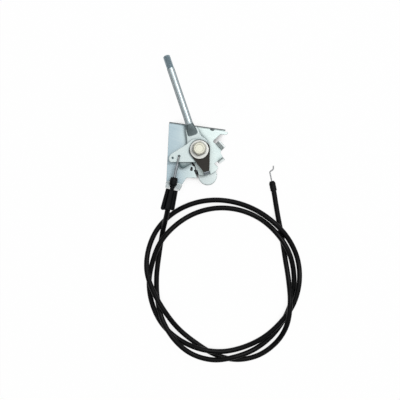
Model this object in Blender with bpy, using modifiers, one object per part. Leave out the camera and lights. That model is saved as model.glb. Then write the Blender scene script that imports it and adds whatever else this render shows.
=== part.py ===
"""Throttle control lever with its cable, laid down as it comes to rest.

Metres, +Z up, bracket face up. The lever turns about +Z through the pivot bolt, and every
outline below is in millimetres from that bolt, +X to the right and +Y towards the lever's tip.
"""

import math

import bmesh
import bpy
from mathutils import Matrix, Vector

MM = 0.001

# Where the pivot stands in the shared frame.
PIVOT = Vector((4.67, -17.46, 0.0))

# Clearance between two pieces that face each other.
GAP = 0.3
# How far a cutter or a join reaches past the face it meets.
REACH = 1.0
# The shortest straight step that a rounded corner is made of.
SHORTEST_CHORD = 0.35

# Bracket, pressed from sheet.
SHEET = 2.0
FLANGE_DROP = 14.5
FLANGE_BEND = 1.5
PLATE_TOP = FLANGE_DROP + SHEET
FLANGE_FROM = Vector((-31.7, 29.3))
FLANGE_TO = Vector((27.6, 21.1))
CABLE_TAB_LEAN = 60.0
CABLE_TAB_LENGTH = 14.2
SIDE_TAB_LENGTH = 7.4
SIDE_TAB_BEND = 0.6
# Both ends of each side tab's root, anticlockwise, and its lean.
SIDE_TABS = (
    (Vector((23.4, -1.3)), Vector((17.0, 5.8)), 66.0),
    (Vector((18.9, -12.7)), Vector((24.7, -8.2)), 80.0),
)
CABLE_TAB_EDGE = ((-18.0, -36.6), (-34.9, -33.0))
CABLE_TAB_TAPER = 0.12
PLATE_OUTLINE = (
    (30.4, 19.4, 2.2),
    (29.4, 15.2, 2.2),
    (22.2, 15.9, 1.5),
    (13.9, 8.3, 2.0),
    (17.0, 5.8, 0.0),
    (23.4, -1.3, 0.0),
    (22.2, -3.2, 0.8),
    (24.7, -8.2, 0.0),
    (18.9, -12.7, 0.0),
    (15.6, -15.2, 0.8),
    (20.2, -18.9, 1.2),
    (17.5, -22.9, 1.2),
    (12.2, -26.2, 0.5),
    (4.3, -27.9, 0.5),
    (-0.6, -26.9, 1.0),
    (-2.0, -22.4, 0.8),
    (-3.6, -21.8, 0.6),
    (-4.6, -17.0, 0.6),
    (-6.5, -14.1, 0.5),
    (-8.6, -13.8, 0.6),
    (-7.1, -17.5, 0.5),
    (-5.2, -17.9, 0.5),
    (-4.4, -21.4, 0.5),
    (-5.9, -22.0, 0.5),
    (-2.3, -30.1, 0.4),
    (-13.5, -29.9, 2.0),
    (-18.0, -36.6, 0.0),
    (-34.9, -33.0, 0.0),
)

LANCE_HOLE = (
    (-8.9, -18.3, 0.7),
    (-7.0, -19.1, 0.7),
    (-7.3, -23.0, 0.7),
    (-9.9, -22.3, 0.7),
)

# Parts clamped on the pivot bolt, from the bracket's face upwards.
FRICTION_DISC_RADIUS = 10.5
FRICTION_DISC = 1.5
BLADE = 3.0
CRANK = 2.0
BRAKE = 1.5
WASHER_RADIUS = 9.5
WASHER = 2.0
BOLT_RADIUS = 4.0
HEX_ACROSS_FLATS = 13.0
HEX_HEAD = 5.3
HEX_FACE_RADIUS = 5.4
BUSH_RADIUS = 6.0

# The same bolt below the bracket.
REAR_DISC = 1.0
REAR_PLATE = 1.2
SPRING_SHEET = 0.7
SPRING_CONE = 0.6
NUT = 6.5
THREAD_END = 0.7

# Lever: round rod swaged flat where it joins the stack.
ROD_RADIUS = 3.9
ROD_LIFT = 1.6
ROD_TIP = Vector((-34.9, 98.2))
ROD_ROOT = Vector((-10.2, 25.4))
THREAD_LENGTH = 13.0
THREAD_PITCH = 1.25
THREAD_DEPTH = 0.45
BLADE_OUTLINE = (
    (-14.6, 20.8, 1.0),
    (-12.9, 10.0, 4.0),
    (-13.1, -2.5, 6.0),
    (-20.4, -11.7, 3.0),
    (-20.9, -17.4, 3.4),
    (-17.4, -20.8, 3.0),
    (-12.6, -17.3, 3.0),
    (-2.0, -9.4, 4.0),
    (9.0, -4.5, 7.0),
    (8.6, 8.8, 7.0),
    (1.8, 14.0, 4.0),
    (-3.2, 23.8, 1.0),
)

# Bell crank that pulls the wire.
WIRE_HOLE = Vector((-21.3, -7.6))
SPARE_HOLE = Vector((-28.1, -9.5))
WIRE_HOLE_RADIUS = 1.25
SPARE_HOLE_RADIUS = 1.05
CRANK_OUTLINE = (
    (-32.4, -9.6, 3.6),
    (-30.4, -5.6, 3.0),
    (-13.1, 5.2, 1.5),
    (-7.4, 10.4, 4.0),
    (9.0, 9.2, 8.0),
    (9.4, -9.0, 8.0),
    (-4.6, -13.9, 3.0),
    (-31.4, -13.9, 3.8),
)

# Brake plate that the bolt squeezes, kept from turning by its hooked tail.
BRAKE_RADIUS = 11.0
TAIL_ANGLE = -72.5
TAIL_WIDTH = 6.2
TAIL_REACH = 26.2
HOOK_BEND = 1.2
HOOK_DROP = 11.5

# Round foot under the bracket's lower corner.
FOOT_AT = Vector((8.8, -28.0))
FOOT_RADIUS = 9.8
FOOT_TOP_RADIUS = 8.6
FOOT_BORE = 3.4
FOOT_BORE_DEPTH = 9.0

# Cable fitting snapped into the leaning tab, measured along its axis from the wire hole.
CABLE_DIRECTION = Vector((-0.2118, -0.9773)).normalized()
HEAD_FROM = 22.8
HEAD_RADIUS = 3.85
HEAD_BORE = 2.6
HEAD_BORE_TO = 31.0
PASSAGE_RADIUS = 1.7
NECK_RADIUS = 2.35
BODY_WIDTH = 13.0
BODY_HEIGHT = 9.0
BODY_TO = 56.7
BODY_FROM = 34.0
YOKE_TO = 41.5
SOCKET_FROM = 38.6
TROUGH_FLOOR_TO = 51.0
RIB_DEPTH = 0.5

# Wires, tube and cable.
WIRE_RADIUS = 0.75
WIRE_BEND = 1.3
TUBE_RADIUS = 1.6
TUBE_BORE = 1.05
TUBE_FROM = 8.6
TUBE_TO = 28.8
LEVER_WIRE_TO = 32.2
CABLE_RADIUS = 2.75
CABLE_POINTS = 80
CABLE_ROUTE = (
    (-34.4, -68.7, 18.7), (-39.4, -88.0, 5.0), (-43.2, -111.5, 3.0),
    (-45.9, -135.4, 3.0), (-44.9, -159.3, 4.8), (-38.9, -182.1, 9.2), (-26.3, -202.4, 10.6),
    (-8.1, -217.7, 8.2), (14.9, -223.9, 8.9), (38.4, -220.6, 8.8), (60.4, -212.7, 3.4),
    (79.0, -197.6, 3.0), (92.5, -177.7, 3.0), (100.2, -155.0, 3.0), (101.0, -131.1, 3.9),
    (95.0, -108.5, 9.1), (82.1, -88.7, 7.7), (64.4, -73.3, 3.2), (42.2, -64.2, 3.0),
    (18.3, -62.3, 3.0), (-5.0, -68.0, 3.0), (-25.1, -80.3, 7.9), (-40.9, -97.8, 11.6),
    (-50.0, -119.5, 6.8), (-54.0, -142.7, 3.0), (-50.1, -166.3, 3.0), (-39.1, -187.6, 3.0),
    (-21.1, -203.3, 4.3), (0.4, -212.0, 9.8), (23.8, -215.4, 6.8), (46.9, -211.4, 3.1),
    (68.0, -200.5, 7.1), (85.8, -184.6, 9.3), (99.7, -165.1, 9.4), (106.4, -142.1, 8.1),
    (105.7, -118.8, 3.1), (96.4, -97.2, 6.5), (81.3, -79.5, 11.0), (62.2, -65.4, 7.1),
    (40.3, -56.6, 3.2), (16.5, -53.6, 3.0), (-7.1, -57.4, 3.0), (-28.6, -68.1, 3.0),
    (-45.3, -85.2, 3.0), (-54.6, -107.1, 5.4), (-55.7, -130.1, 11.4), (-47.9, -152.7, 12.3),
    (-35.8, -173.4, 11.8), (-21.9, -191.7, 5.0), (-3.5, -207.0, 3.0), (17.1, -219.3, 3.0),
    (40.4, -224.6, 3.0), (63.8, -219.7, 3.0), (82.5, -205.4, 5.5), (92.7, -185.5, 14.6),
    (96.0, -162.3, 15.4), (95.3, -139.7, 6.7), (92.0, -116.3, 3.0), (88.3, -92.5, 3.0),
    (83.8, -68.8, 3.3), (79.9, -45.1, 3.6),
    (78.5, -37.9, 3.6),
)

# Ferrule and wire at the cable's far end.
FERRULE_RADIUS = 3.45
FERRULE_LENGTH = 10.7
FERRULE_GRIP = 6.0
FAR_WIRE_IN = 5.0
FAR_BORE = 1.15
FAR_BORE_DEPTH = 20.0
Z_BEND = ((10.3, 0.0), (11.9, -4.2), (15.8, -5.2))

# Heights that follow from the sizes above.
DISC_FROM = PLATE_TOP + GAP
BLADE_FROM = DISC_FROM + FRICTION_DISC + GAP
CRANK_FROM = BLADE_FROM + BLADE + GAP
BRAKE_FROM = CRANK_FROM + CRANK + GAP
WASHER_FROM = BRAKE_FROM + BRAKE + GAP
HEAD_BASE = WASHER_FROM + WASHER + GAP
WIRE_HEIGHT = CRANK_FROM + CRANK + GAP + WIRE_RADIUS
REAR_DISC_FROM = FLANGE_DROP - GAP - REAR_DISC
REAR_PLATE_FROM = REAR_DISC_FROM - GAP - REAR_PLATE
SPRING_HEIGHT = SPRING_SHEET + SPRING_CONE
UPPER_SPRING_FROM = REAR_PLATE_FROM - GAP - SPRING_HEIGHT
LOWER_SPRING_FROM = UPPER_SPRING_FROM - GAP - SPRING_HEIGHT
NUT_FROM = LOWER_SPRING_FROM - GAP - NUT
BOLT_HOLE = BOLT_RADIUS + GAP
BUSH_HOLE = BUSH_RADIUS + GAP
ROD_HEIGHT = BLADE_FROM + BLADE / 2 + ROD_LIFT


def tidy_scene():
    for obj in list(bpy.data.objects):
        bpy.data.objects.remove(obj, do_unlink=True)


def new_collection(name, hidden=False):
    collection = bpy.data.collections.new(name)
    bpy.context.scene.collection.children.link(collection)
    collection.hide_render = hidden
    return collection


def material(name, color, metallic, roughness):
    made = bpy.data.materials.new(name)
    made.use_nodes = True
    shader = made.node_tree.nodes["Principled BSDF"]
    shader.inputs["Base Color"].default_value = (*color, 1.0)
    shader.inputs["Metallic"].default_value = metallic
    shader.inputs["Roughness"].default_value = roughness
    return made


def at_pivot(x, y, z):
    """A place given in millimetres from the pivot, as metres in the shared frame."""
    return (Vector((x, y, z)) + PIVOT) * MM


def shape_from(name, mesh_maker):
    """Runs mesh_maker on a new bmesh and links the result as an object."""
    mesh = bpy.data.meshes.new(name)
    bm = bmesh.new()
    mesh_maker(bm)
    bmesh.ops.recalc_face_normals(bm, faces=bm.faces)
    bm.to_mesh(mesh)
    bm.free()
    obj = bpy.data.objects.new(name, mesh)
    PARTS.objects.link(obj)
    return obj


def corner_arc(before, corner, after, radius):
    """Points that round one corner of an outline."""
    towards = (before - corner).normalized()
    onwards = (after - corner).normalized()
    half = towards.angle(onwards) / 2
    back = min(radius / math.tan(half), 0.45 * (before - corner).length, 0.45 * (after - corner).length)
    if radius <= 0 or half > math.radians(78):
        return [corner]
    used = back * math.tan(half)
    centre = corner + (towards + onwards).normalized() * (used / math.sin(half))
    first = corner + towards * back - centre
    last = corner + onwards * back - centre
    turn = first.angle_signed(last)
    steps = math.ceil(abs(turn) / math.radians(18))
    steps = max(1, min(steps, round(abs(turn) * used / SHORTEST_CHORD)))
    points = []
    for step in range(steps + 1):
        spin = Matrix.Rotation(-turn * step / steps, 2)
        points.append(centre + spin @ first)
    return points


def rounded(outline):
    """The outline's x, y, radius rows as points with every corner rounded."""
    corners = [Vector(row[:2]) for row in outline]
    points = []
    for index, row in enumerate(outline):
        before = corners[index - 1]
        after = corners[(index + 1) % len(corners)]
        points += corner_arc(before, corners[index], after, row[2])
    return points


def circle(centre, radius, count=40):
    return [
        centre + Vector((radius * math.cos(a), radius * math.sin(a)))
        for a in (2 * math.pi * i / count for i in range(count))
    ]


def flat_plate(name, outline, holes, bottom, thickness):
    """A plate of even thickness cut to an outline, with its holes."""
    curve = bpy.data.curves.new(name, "CURVE")
    curve.dimensions = "2D"
    curve.fill_mode = "BOTH"
    curve.extrude = thickness * MM / 2
    for loop in [outline, *holes]:
        spline = curve.splines.new("POLY")
        spline.points.add(len(loop) - 1)
        for point, place in zip(spline.points, loop):
            flat = at_pivot(place.x, place.y, 0)
            point.co = (flat.x, flat.y, 0.0, 1.0)
        spline.use_cyclic_u = True
    drawn = bpy.data.objects.new(name + " outline", curve)
    PARTS.objects.link(drawn)
    drawn.location.z = (bottom + thickness / 2) * MM
    return solid_from(drawn, name)


def solid_from(drawn, name):
    """A curve object turned into one welded mesh that takes its place."""
    bpy.context.view_layer.update()
    seen = drawn.evaluated_get(bpy.context.evaluated_depsgraph_get())
    mesh = bpy.data.meshes.new_from_object(seen)
    mesh.transform(drawn.matrix_world)
    bm = bmesh.new()
    bm.from_mesh(mesh)
    bmesh.ops.remove_doubles(bm, verts=bm.verts, dist=1e-6)
    bmesh.ops.recalc_face_normals(bm, faces=bm.faces)
    bm.to_mesh(mesh)
    bm.free()
    bpy.data.objects.remove(drawn)
    mesh.name = name
    obj = bpy.data.objects.new(name, mesh)
    PARTS.objects.link(obj)
    return obj


def turned(name, profile, segments=40):
    """A turned part: radius and height rows, top to bottom, spun about the local Z axis."""
    mesh = bpy.data.meshes.new(name)
    rows = [Vector((radius * MM, 0.0, height * MM)) for radius, height in profile]
    closed = min(radius for radius, _ in profile) > 0
    edges = [(i, i + 1) for i in range(len(rows) - 1)]
    if closed:
        edges.append((len(rows) - 1, 0))
    mesh.from_pydata(rows, edges, [])
    obj = bpy.data.objects.new(name, mesh)
    PARTS.objects.link(obj)
    spin = obj.modifiers.new("Spin", "SCREW")
    spin.steps = segments
    spin.render_steps = segments
    spin.use_merge_vertices = True
    spin.merge_threshold = 1e-6
    return faced_outwards(baked(obj))


def baked(obj):
    """The object with its modifiers carried out."""
    bpy.context.view_layer.update()
    seen = obj.evaluated_get(bpy.context.evaluated_depsgraph_get())
    mesh = bpy.data.meshes.new_from_object(seen)
    obj.modifiers.clear()
    obj.data = mesh
    return obj


def faced_outwards(obj):
    bm = bmesh.new()
    bm.from_mesh(obj.data)
    bmesh.ops.recalc_face_normals(bm, faces=bm.faces)
    bm.to_mesh(obj.data)
    bm.free()
    return obj


def ring(name, outer, inner, bottom, thickness, edge=0.2):
    """A washer with broken edges, standing on the pivot's axis."""
    top = bottom + thickness
    made = turned(
        name,
        (
            (inner, top),
            (outer - edge, top),
            (outer, top - edge),
            (outer, bottom + edge),
            (outer - edge, bottom),
            (inner, bottom),
        ),
    )
    made.location = PIVOT * MM
    return made


def box(name, low, high, frame=None):
    """A box between two corners, placed by a frame."""

    def make(bm):
        size = Vector(high) - Vector(low)
        middle = (Vector(high) + Vector(low)) / 2
        place = Matrix.Translation(middle * MM) @ Matrix.Diagonal((*(size * MM), 1.0))
        bmesh.ops.create_cube(bm, size=1.0, matrix=(frame or Matrix()) @ place)

    return shape_from(name, make)


def folded(obj, root, away, bend, lean, length, narrowing=0.0, bottom=FLANGE_DROP, thickness=SHEET):
    """The sheet carried on past one straight edge: round a bend, then on in a straight line.

    The edge is the one whose middle lies at root and that faces away. A positive lean bends
    it up, and narrowing is how much narrower its end is than its root.
    """
    bm = bmesh.new()
    bm.from_mesh(obj.data)
    wanted = at_pivot(root.x, root.y, bottom + thickness / 2)
    face = min(bm.faces, key=lambda f: (f.calc_center_bounds() - wanted).length)
    ring_verts = [loop.vert for loop in face.loops]
    bmesh.ops.delete(bm, geom=[face], context="FACES_ONLY")
    outwards = Vector((away.x, away.y, 0.0)).normalized()
    upwards = Vector((0.0, 0.0, math.copysign(1.0, lean)))
    hinge = wanted + upwards * (bend + thickness / 2) * MM
    axle = outwards.cross(upwards)
    turn = math.radians(abs(lean))
    steps = 6
    starts = [vert.co.copy() for vert in ring_verts]
    rings = []
    for step in range(1, steps + 1):
        spin = Matrix.Rotation(turn * step / steps, 3, axle)
        rings.append([hinge + spin @ (place - hinge) for place in starts])
    onwards = Matrix.Rotation(turn, 3, axle) @ outwards
    middle = sum(rings[-1], Vector()) / len(rings[-1])
    last = []
    for place in rings[-1]:
        aside = axle * (place - middle).dot(axle)
        last.append(place - aside * narrowing + onwards * length * MM)
    rings.append(last)
    for places in rings:
        fresh = [bm.verts.new(place) for place in places]
        for i, vert in enumerate(ring_verts):
            j = (i + 1) % len(ring_verts)
            bm.faces.new((vert, ring_verts[j], fresh[j], fresh[i]))
        ring_verts = fresh
    bm.faces.new(ring_verts)
    bmesh.ops.recalc_face_normals(bm, faces=bm.faces)
    bm.to_mesh(obj.data)
    bm.free()
    return obj


def joined(base, others, operation="UNION"):
    """The base with the others added or cut away; the others are used up."""
    for other in others:
        step = base.modifiers.new(other.name, "BOOLEAN")
        step.operation = operation
        step.solver = "EXACT"
        step.object = other
    baked(base)
    for other in others:
        bpy.data.objects.remove(other, do_unlink=True)
    return base


def cleaned(obj):
    """Flat faces that a Boolean split are made whole again."""
    bm = bmesh.new()
    bm.from_mesh(obj.data)
    bmesh.ops.remove_doubles(bm, verts=bm.verts, dist=2e-6)
    bmesh.ops.dissolve_limit(
        bm, angle_limit=math.radians(0.3), verts=bm.verts, edges=bm.edges
    )
    bmesh.ops.triangulate(bm, faces=[f for f in bm.faces if len(f.verts) > 4])
    bm.to_mesh(obj.data)
    bm.free()
    return obj


def upright_frame(origin, direction, height):
    """A frame at an outline place whose X axis follows a flat direction."""
    x = Vector((direction.x, direction.y, 0.0)).normalized()
    z = Vector((0.0, 0.0, 1.0))
    y = z.cross(x)
    turn = Matrix((x, y, z)).transposed().to_4x4()
    return Matrix.Translation(at_pivot(origin.x, origin.y, height)) @ turn


def lying_frame(origin, direction, height):
    """A frame whose Z axis follows a flat direction and whose Y axis points up."""
    z = Vector((direction.x, direction.y, 0.0)).normalized()
    y = Vector((0.0, 0.0, 1.0))
    x = y.cross(z)
    turn = Matrix((x, y, z)).transposed().to_4x4()
    return Matrix.Translation(at_pivot(origin.x, origin.y, height)) @ turn


def rod(name, rows, frame, segments=32):
    """A turned part laid along a frame's Z axis."""
    made = turned(name, rows, segments)
    made.data.transform(frame)
    return made


def wire(name, places, radius):
    """A round wire through places in metres, with capped ends."""
    curve = bpy.data.curves.new(name, "CURVE")
    curve.dimensions = "3D"
    curve.bevel_depth = radius * MM
    curve.bevel_resolution = 2
    curve.use_fill_caps = True
    spline = curve.splines.new("POLY")
    spline.points.add(len(places) - 1)
    for point, place in zip(spline.points, places):
        point.co = (*place, 1.0)
    drawn = bpy.data.objects.new(name + " line", curve)
    PARTS.objects.link(drawn)
    return solid_from(drawn, name)


def bent_line(corners, radius, steps=5):
    """Places along straight runs whose corners are rounded."""
    places = [corners[0]]
    for before, corner, after in zip(corners, corners[1:], corners[2:]):
        towards = (before - corner).normalized()
        onwards = (after - corner).normalized()
        half = towards.angle(onwards) / 2
        back = min(radius / math.tan(half), 0.45 * (before - corner).length, 0.45 * (after - corner).length)
        start = corner + towards * back
        end = corner + onwards * back
        for step in range(steps + 1):
            t = step / steps
            first = start.lerp(corner, t)
            second = corner.lerp(end, t)
            places.append(first.lerp(second, t))
    places.append(corners[-1])
    return places


def smooth_line(route, start):
    """Places on a smooth curve through the route, twelve to a span, from one of its points on."""
    ends = [2 * route[0] - route[1], *route, 2 * route[-1] - route[-2]]
    smooth = []
    for before, here, there, after in list(zip(ends, ends[1:], ends[2:], ends[3:]))[start:]:
        for step in range(12):
            t = step / 12
            linear = (there - before) * t
            square = (2 * before - 5 * here + 4 * there - after) * t**2
            cube = (3 * here - before - 3 * there + after) * t**3
            smooth.append((2 * here + linear + square + cube) / 2)
    smooth.append(route[-1])
    return smooth


def cable_line():
    """The cable's centreline: straight through its fitting, then evenly spaced along its route."""
    straight = []
    for along in (SOCKET_FROM + REACH, YOKE_TO + 4.0, TROUGH_FLOOR_TO + 1.0):
        place = WIRE_HOLE + CABLE_DIRECTION * along
        straight.append(Vector((place.x, place.y, WIRE_HEIGHT)))
    smooth = smooth_line(straight + [Vector(row) for row in CABLE_ROUTE], len(straight) - 1)
    lengths = [0.0]
    for here, there in zip(smooth, smooth[1:]):
        lengths.append(lengths[-1] + (there - here).length)
    line = straight[:-1]
    count = CABLE_POINTS - len(line)
    index = 0
    for number in range(count):
        wanted = lengths[-1] * number / (count - 1)
        while index < len(smooth) - 2 and lengths[index + 1] < wanted:
            index += 1
        share = (wanted - lengths[index]) / (lengths[index + 1] - lengths[index])
        place = smooth[index].lerp(smooth[index + 1], share)
        place.z = max(place.z, CABLE_RADIUS + 0.05)
        line.append(place)
    return line


def finished(obj, name, paint, axis_at=None):
    """Names the piece, gives it its material and shading, and sets a moving piece's origin on its axis."""
    if axis_at is not None:
        obj.data.transform(Matrix.Translation(obj.location - axis_at))
        obj.location = axis_at
    obj.name = name
    obj.data.name = name
    obj.data.materials.clear()
    obj.data.materials.append(paint)
    obj.data.shade_smooth()
    obj.data.set_sharp_from_angle(angle=math.radians(35))
    return obj


def make_bracket():
    along = (FLANGE_TO - FLANGE_FROM).normalized()
    outwards = Vector((-along.y, along.x))
    # The sheet stops short of the flange's face, so that the bend carries it round.
    short = outwards * (FLANGE_BEND + SHEET)
    flange_ends = [FLANGE_FROM - short, FLANGE_TO - short]
    outline = rounded([(*end, 0.0) for end in flange_ends] + list(PLATE_OUTLINE))
    holes = [circle(Vector((0, 0)), BOLT_HOLE), rounded(LANCE_HOLE)]
    plate = flat_plate("bracket", outline, holes, FLANGE_DROP, SHEET)
    flange_root = (flange_ends[0] + flange_ends[1]) / 2
    folded(plate, flange_root, outwards, FLANGE_BEND, -90.0, FLANGE_DROP - FLANGE_BEND)
    for first, last, lean in SIDE_TABS:
        edge = last - first
        away = Vector((edge.y, -edge.x))
        folded(plate, (first + last) / 2, away, SIDE_TAB_BEND, lean, SIDE_TAB_LENGTH)
    tab_root = sum((Vector(end) for end in CABLE_TAB_EDGE), Vector((0, 0))) / 2
    tab_edge = Vector(CABLE_TAB_EDGE[0]) - Vector(CABLE_TAB_EDGE[1])
    tab_away = Vector((tab_edge.y, -tab_edge.x))
    folded(plate, tab_root, tab_away, FLANGE_BEND, CABLE_TAB_LEAN, CABLE_TAB_LENGTH, CABLE_TAB_TAPER)
    frame = lying_frame(WIRE_HOLE, CABLE_DIRECTION, WIRE_HEIGHT)
    slot = NECK_RADIUS + GAP
    round_end = rod("slot end", ((0, 45), (slot, 45), (slot, 29), (0, 29)), frame)
    opening = box("slot", (-slot, 0, 29), (slot, 14, 45), frame)
    tail = Vector((math.cos(math.radians(TAIL_ANGLE)), math.sin(math.radians(TAIL_ANGLE))))
    notch_frame = upright_frame(tail * (TAIL_REACH - HOOK_BEND), tail, FLANGE_DROP - REACH)
    half = TAIL_WIDTH / 2 + GAP
    notch = box("notch", (0, -half, 0), (9, half, SHEET + 2 * REACH), notch_frame)
    joined(plate, [round_end, opening, notch], "DIFFERENCE")
    return cleaned(plate)


def make_foot():
    top = FLANGE_DROP - GAP
    foot = turned(
        "mounting foot",
        (
            (0, top),
            (FOOT_TOP_RADIUS - 0.6, top),
            (FOOT_TOP_RADIUS, top - 0.6),
            (FOOT_TOP_RADIUS, top - 3.0),
            (FOOT_RADIUS, top - 4.2),
            (FOOT_RADIUS, 0.8),
            (FOOT_RADIUS - 0.8, 0),
            (FOOT_BORE + 0.5, 0),
            (FOOT_BORE, 0.5),
            (FOOT_BORE, FOOT_BORE_DEPTH),
            (0, FOOT_BORE_DEPTH + 1.6),
        ),
    )
    foot.location = at_pivot(FOOT_AT.x, FOOT_AT.y, 0)
    return foot


def make_lever():
    outline = rounded(BLADE_OUTLINE)
    blade = flat_plate("lever", outline, [circle(Vector((0, 0)), BUSH_HOLE)], BLADE_FROM, BLADE)
    along = (ROD_TIP - ROD_ROOT).normalized()
    across = Vector((-along.y, along.x))
    length = (ROD_TIP - ROD_ROOT).length
    sides = 24

    def section(s, half_width, half_height, height):
        centre = ROD_ROOT + along * s
        places = []
        for i in range(sides):
            a = 2 * math.pi * (i + 0.5) / sides
            flat = max(half_width / half_height, 1.0)
            power = 1.0 if flat < 1.05 else 0.45
            c = math.copysign(abs(math.cos(a)) ** power, math.cos(a))
            t = math.copysign(abs(math.sin(a)) ** power, math.sin(a))
            side = centre + across * half_width * c
            places.append(at_pivot(side.x, side.y, height + half_height * t))
        return places

    rows = [
        (-13.0, 6.1, BLADE / 2 - 0.05, BLADE_FROM + BLADE / 2),
        (-7.5, 5.6, BLADE / 2 - 0.02, BLADE_FROM + BLADE / 2),
        (-3.5, 4.7, 2.3, (BLADE_FROM + BLADE / 2 + ROD_HEIGHT) / 2),
        (0.0, ROD_RADIUS + 0.3, 3.2, ROD_HEIGHT - 0.4),
        (3.0, ROD_RADIUS, ROD_RADIUS, ROD_HEIGHT),
        (length - THREAD_LENGTH, ROD_RADIUS, ROD_RADIUS, ROD_HEIGHT),
    ]
    s = length - THREAD_LENGTH + 0.4
    root = ROD_RADIUS - THREAD_DEPTH
    while s < length - 1.4:
        rows.append((s, root, root, ROD_HEIGHT))
        rows.append((s + THREAD_PITCH / 2, ROD_RADIUS - 0.1, ROD_RADIUS - 0.1, ROD_HEIGHT))
        s += THREAD_PITCH
    rows.append((length - 0.9, root, root, ROD_HEIGHT))
    rows.append((length, root - 0.9, root - 0.9, ROD_HEIGHT))

    def make(bm):
        loops = [[bm.verts.new(p) for p in section(*row)] for row in rows]
        bm.faces.new(loops[0])
        bm.faces.new(loops[-1])
        for low, high in zip(loops, loops[1:]):
            for i in range(sides):
                j = (i + 1) % sides
                bm.faces.new((low[i], low[j], high[j], high[i]))

    shaft = shape_from("lever shaft", make)
    return cleaned(joined(blade, [shaft]))


def make_crank():
    holes = [
        circle(Vector((0, 0)), BUSH_HOLE),
        circle(WIRE_HOLE, WIRE_HOLE_RADIUS, 20),
        circle(SPARE_HOLE, SPARE_HOLE_RADIUS, 20),
    ]
    return flat_plate("bell crank", rounded(CRANK_OUTLINE), holes, CRANK_FROM, CRANK)


def make_brake():
    angle = math.radians(TAIL_ANGLE)
    tail = Vector((math.cos(angle), math.sin(angle)))
    side = Vector((-tail.y, tail.x))
    bend_from = TAIL_REACH - HOOK_BEND
    end = tail * bend_from
    half = TAIL_WIDTH / 2
    sweep = math.asin((BRAKE_RADIUS - half) / bend_from)
    points = []
    for step in range(37):
        a = angle + math.pi / 2 - sweep + step * (math.pi + 2 * sweep) / 36
        points.append(Vector((math.cos(a), math.sin(a))) * BRAKE_RADIUS)
    points += [end - side * half, end + side * half]
    bolt_hole = circle(Vector((0, 0)), BOLT_HOLE)
    plate = flat_plate("brake plate", points, [bolt_hole], BRAKE_FROM, BRAKE)
    drop = HOOK_DROP - HOOK_BEND - BRAKE
    return folded(plate, end, tail, HOOK_BEND, -90.0, drop, 0.0, BRAKE_FROM, BRAKE)


def hex_loop(bm, across_flats, height, turn):
    radius = across_flats / math.sqrt(3)
    angles = [turn + i * math.pi / 3 for i in range(6)]
    corners = [Vector((radius * math.cos(a), radius * math.sin(a), height)) for a in angles]
    return [bm.verts.new(corner * MM) for corner in corners]


def hex_prism(name, across_flats, bottom, height):
    def make(bm):
        low = hex_loop(bm, across_flats, bottom, HEX_TURN)
        high = hex_loop(bm, across_flats, bottom + height, HEX_TURN)
        bm.faces.new(low)
        bm.faces.new(high)
        for i in range(6):
            j = (i + 1) % 6
            bm.faces.new((low[i], low[j], high[j], high[i]))

    return shape_from(name, make)


HEX_TURN = math.radians(82)


def chamfer_cone(name, across_flats, bottom, height, both_ends):
    """A drum whose broken edge rounds the corners of a hexagon."""
    corner = across_flats / math.sqrt(3) + 0.2
    face = HEX_FACE_RADIUS
    drop = (corner - face) * math.tan(math.radians(30))
    top = bottom + height
    rows = [(0, top), (face, top), (corner, top - drop)]
    rows += [(corner, bottom + drop), (face, bottom)] if both_ends else [(corner, bottom)]
    rows.append((0, bottom))
    return turned(name, rows)


def make_bolt():
    end = NUT_FROM - THREAD_END
    head = hex_prism("pivot bolt", HEX_ACROSS_FLATS, HEAD_BASE, HEX_HEAD)
    drum = chamfer_cone("drum", HEX_ACROSS_FLATS, HEAD_BASE, HEX_HEAD, False)
    joined(head, [drum], "INTERSECT")
    shank = turned(
        "shank",
        (
            (0, HEAD_BASE + REACH),
            (BOLT_RADIUS, HEAD_BASE + REACH),
            (BOLT_RADIUS, end + 0.6),
            (BOLT_RADIUS - 0.6, end),
            (0, end),
        ),
        32,
    )
    joined(head, [shank])
    head.location = PIVOT * MM
    return cleaned(head)


def make_nut():
    nut = hex_prism("lock nut", HEX_ACROSS_FLATS, NUT_FROM, NUT)
    drum = chamfer_cone("drum", HEX_ACROSS_FLATS, NUT_FROM, NUT, True)
    joined(nut, [drum], "INTERSECT")
    bore = turned(
        "bore",
        (
            (0, NUT_FROM + NUT + REACH),
            (BOLT_HOLE, NUT_FROM + NUT + REACH),
            (BOLT_HOLE, NUT_FROM - REACH),
            (0, NUT_FROM - REACH),
        ),
        32,
    )
    joined(nut, [bore], "DIFFERENCE")
    nut.location = PIVOT * MM
    return cleaned(nut)


def make_spring(name, bottom, wide_end_up):
    """A coned disc spring; two of them stand mouth to mouth."""
    outer = WASHER_RADIUS - 1.2
    inner = BOLT_HOLE
    rows = [
        (inner, SPRING_HEIGHT),
        (outer, SPRING_SHEET),
        (outer, 0.0),
        (inner, SPRING_CONE),
    ]
    if wide_end_up:
        rows = [(radius, SPRING_HEIGHT - height) for radius, height in reversed(rows)]
    spring = turned(name, [(radius, bottom + height) for radius, height in rows])
    spring.location = PIVOT * MM
    return spring


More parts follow.
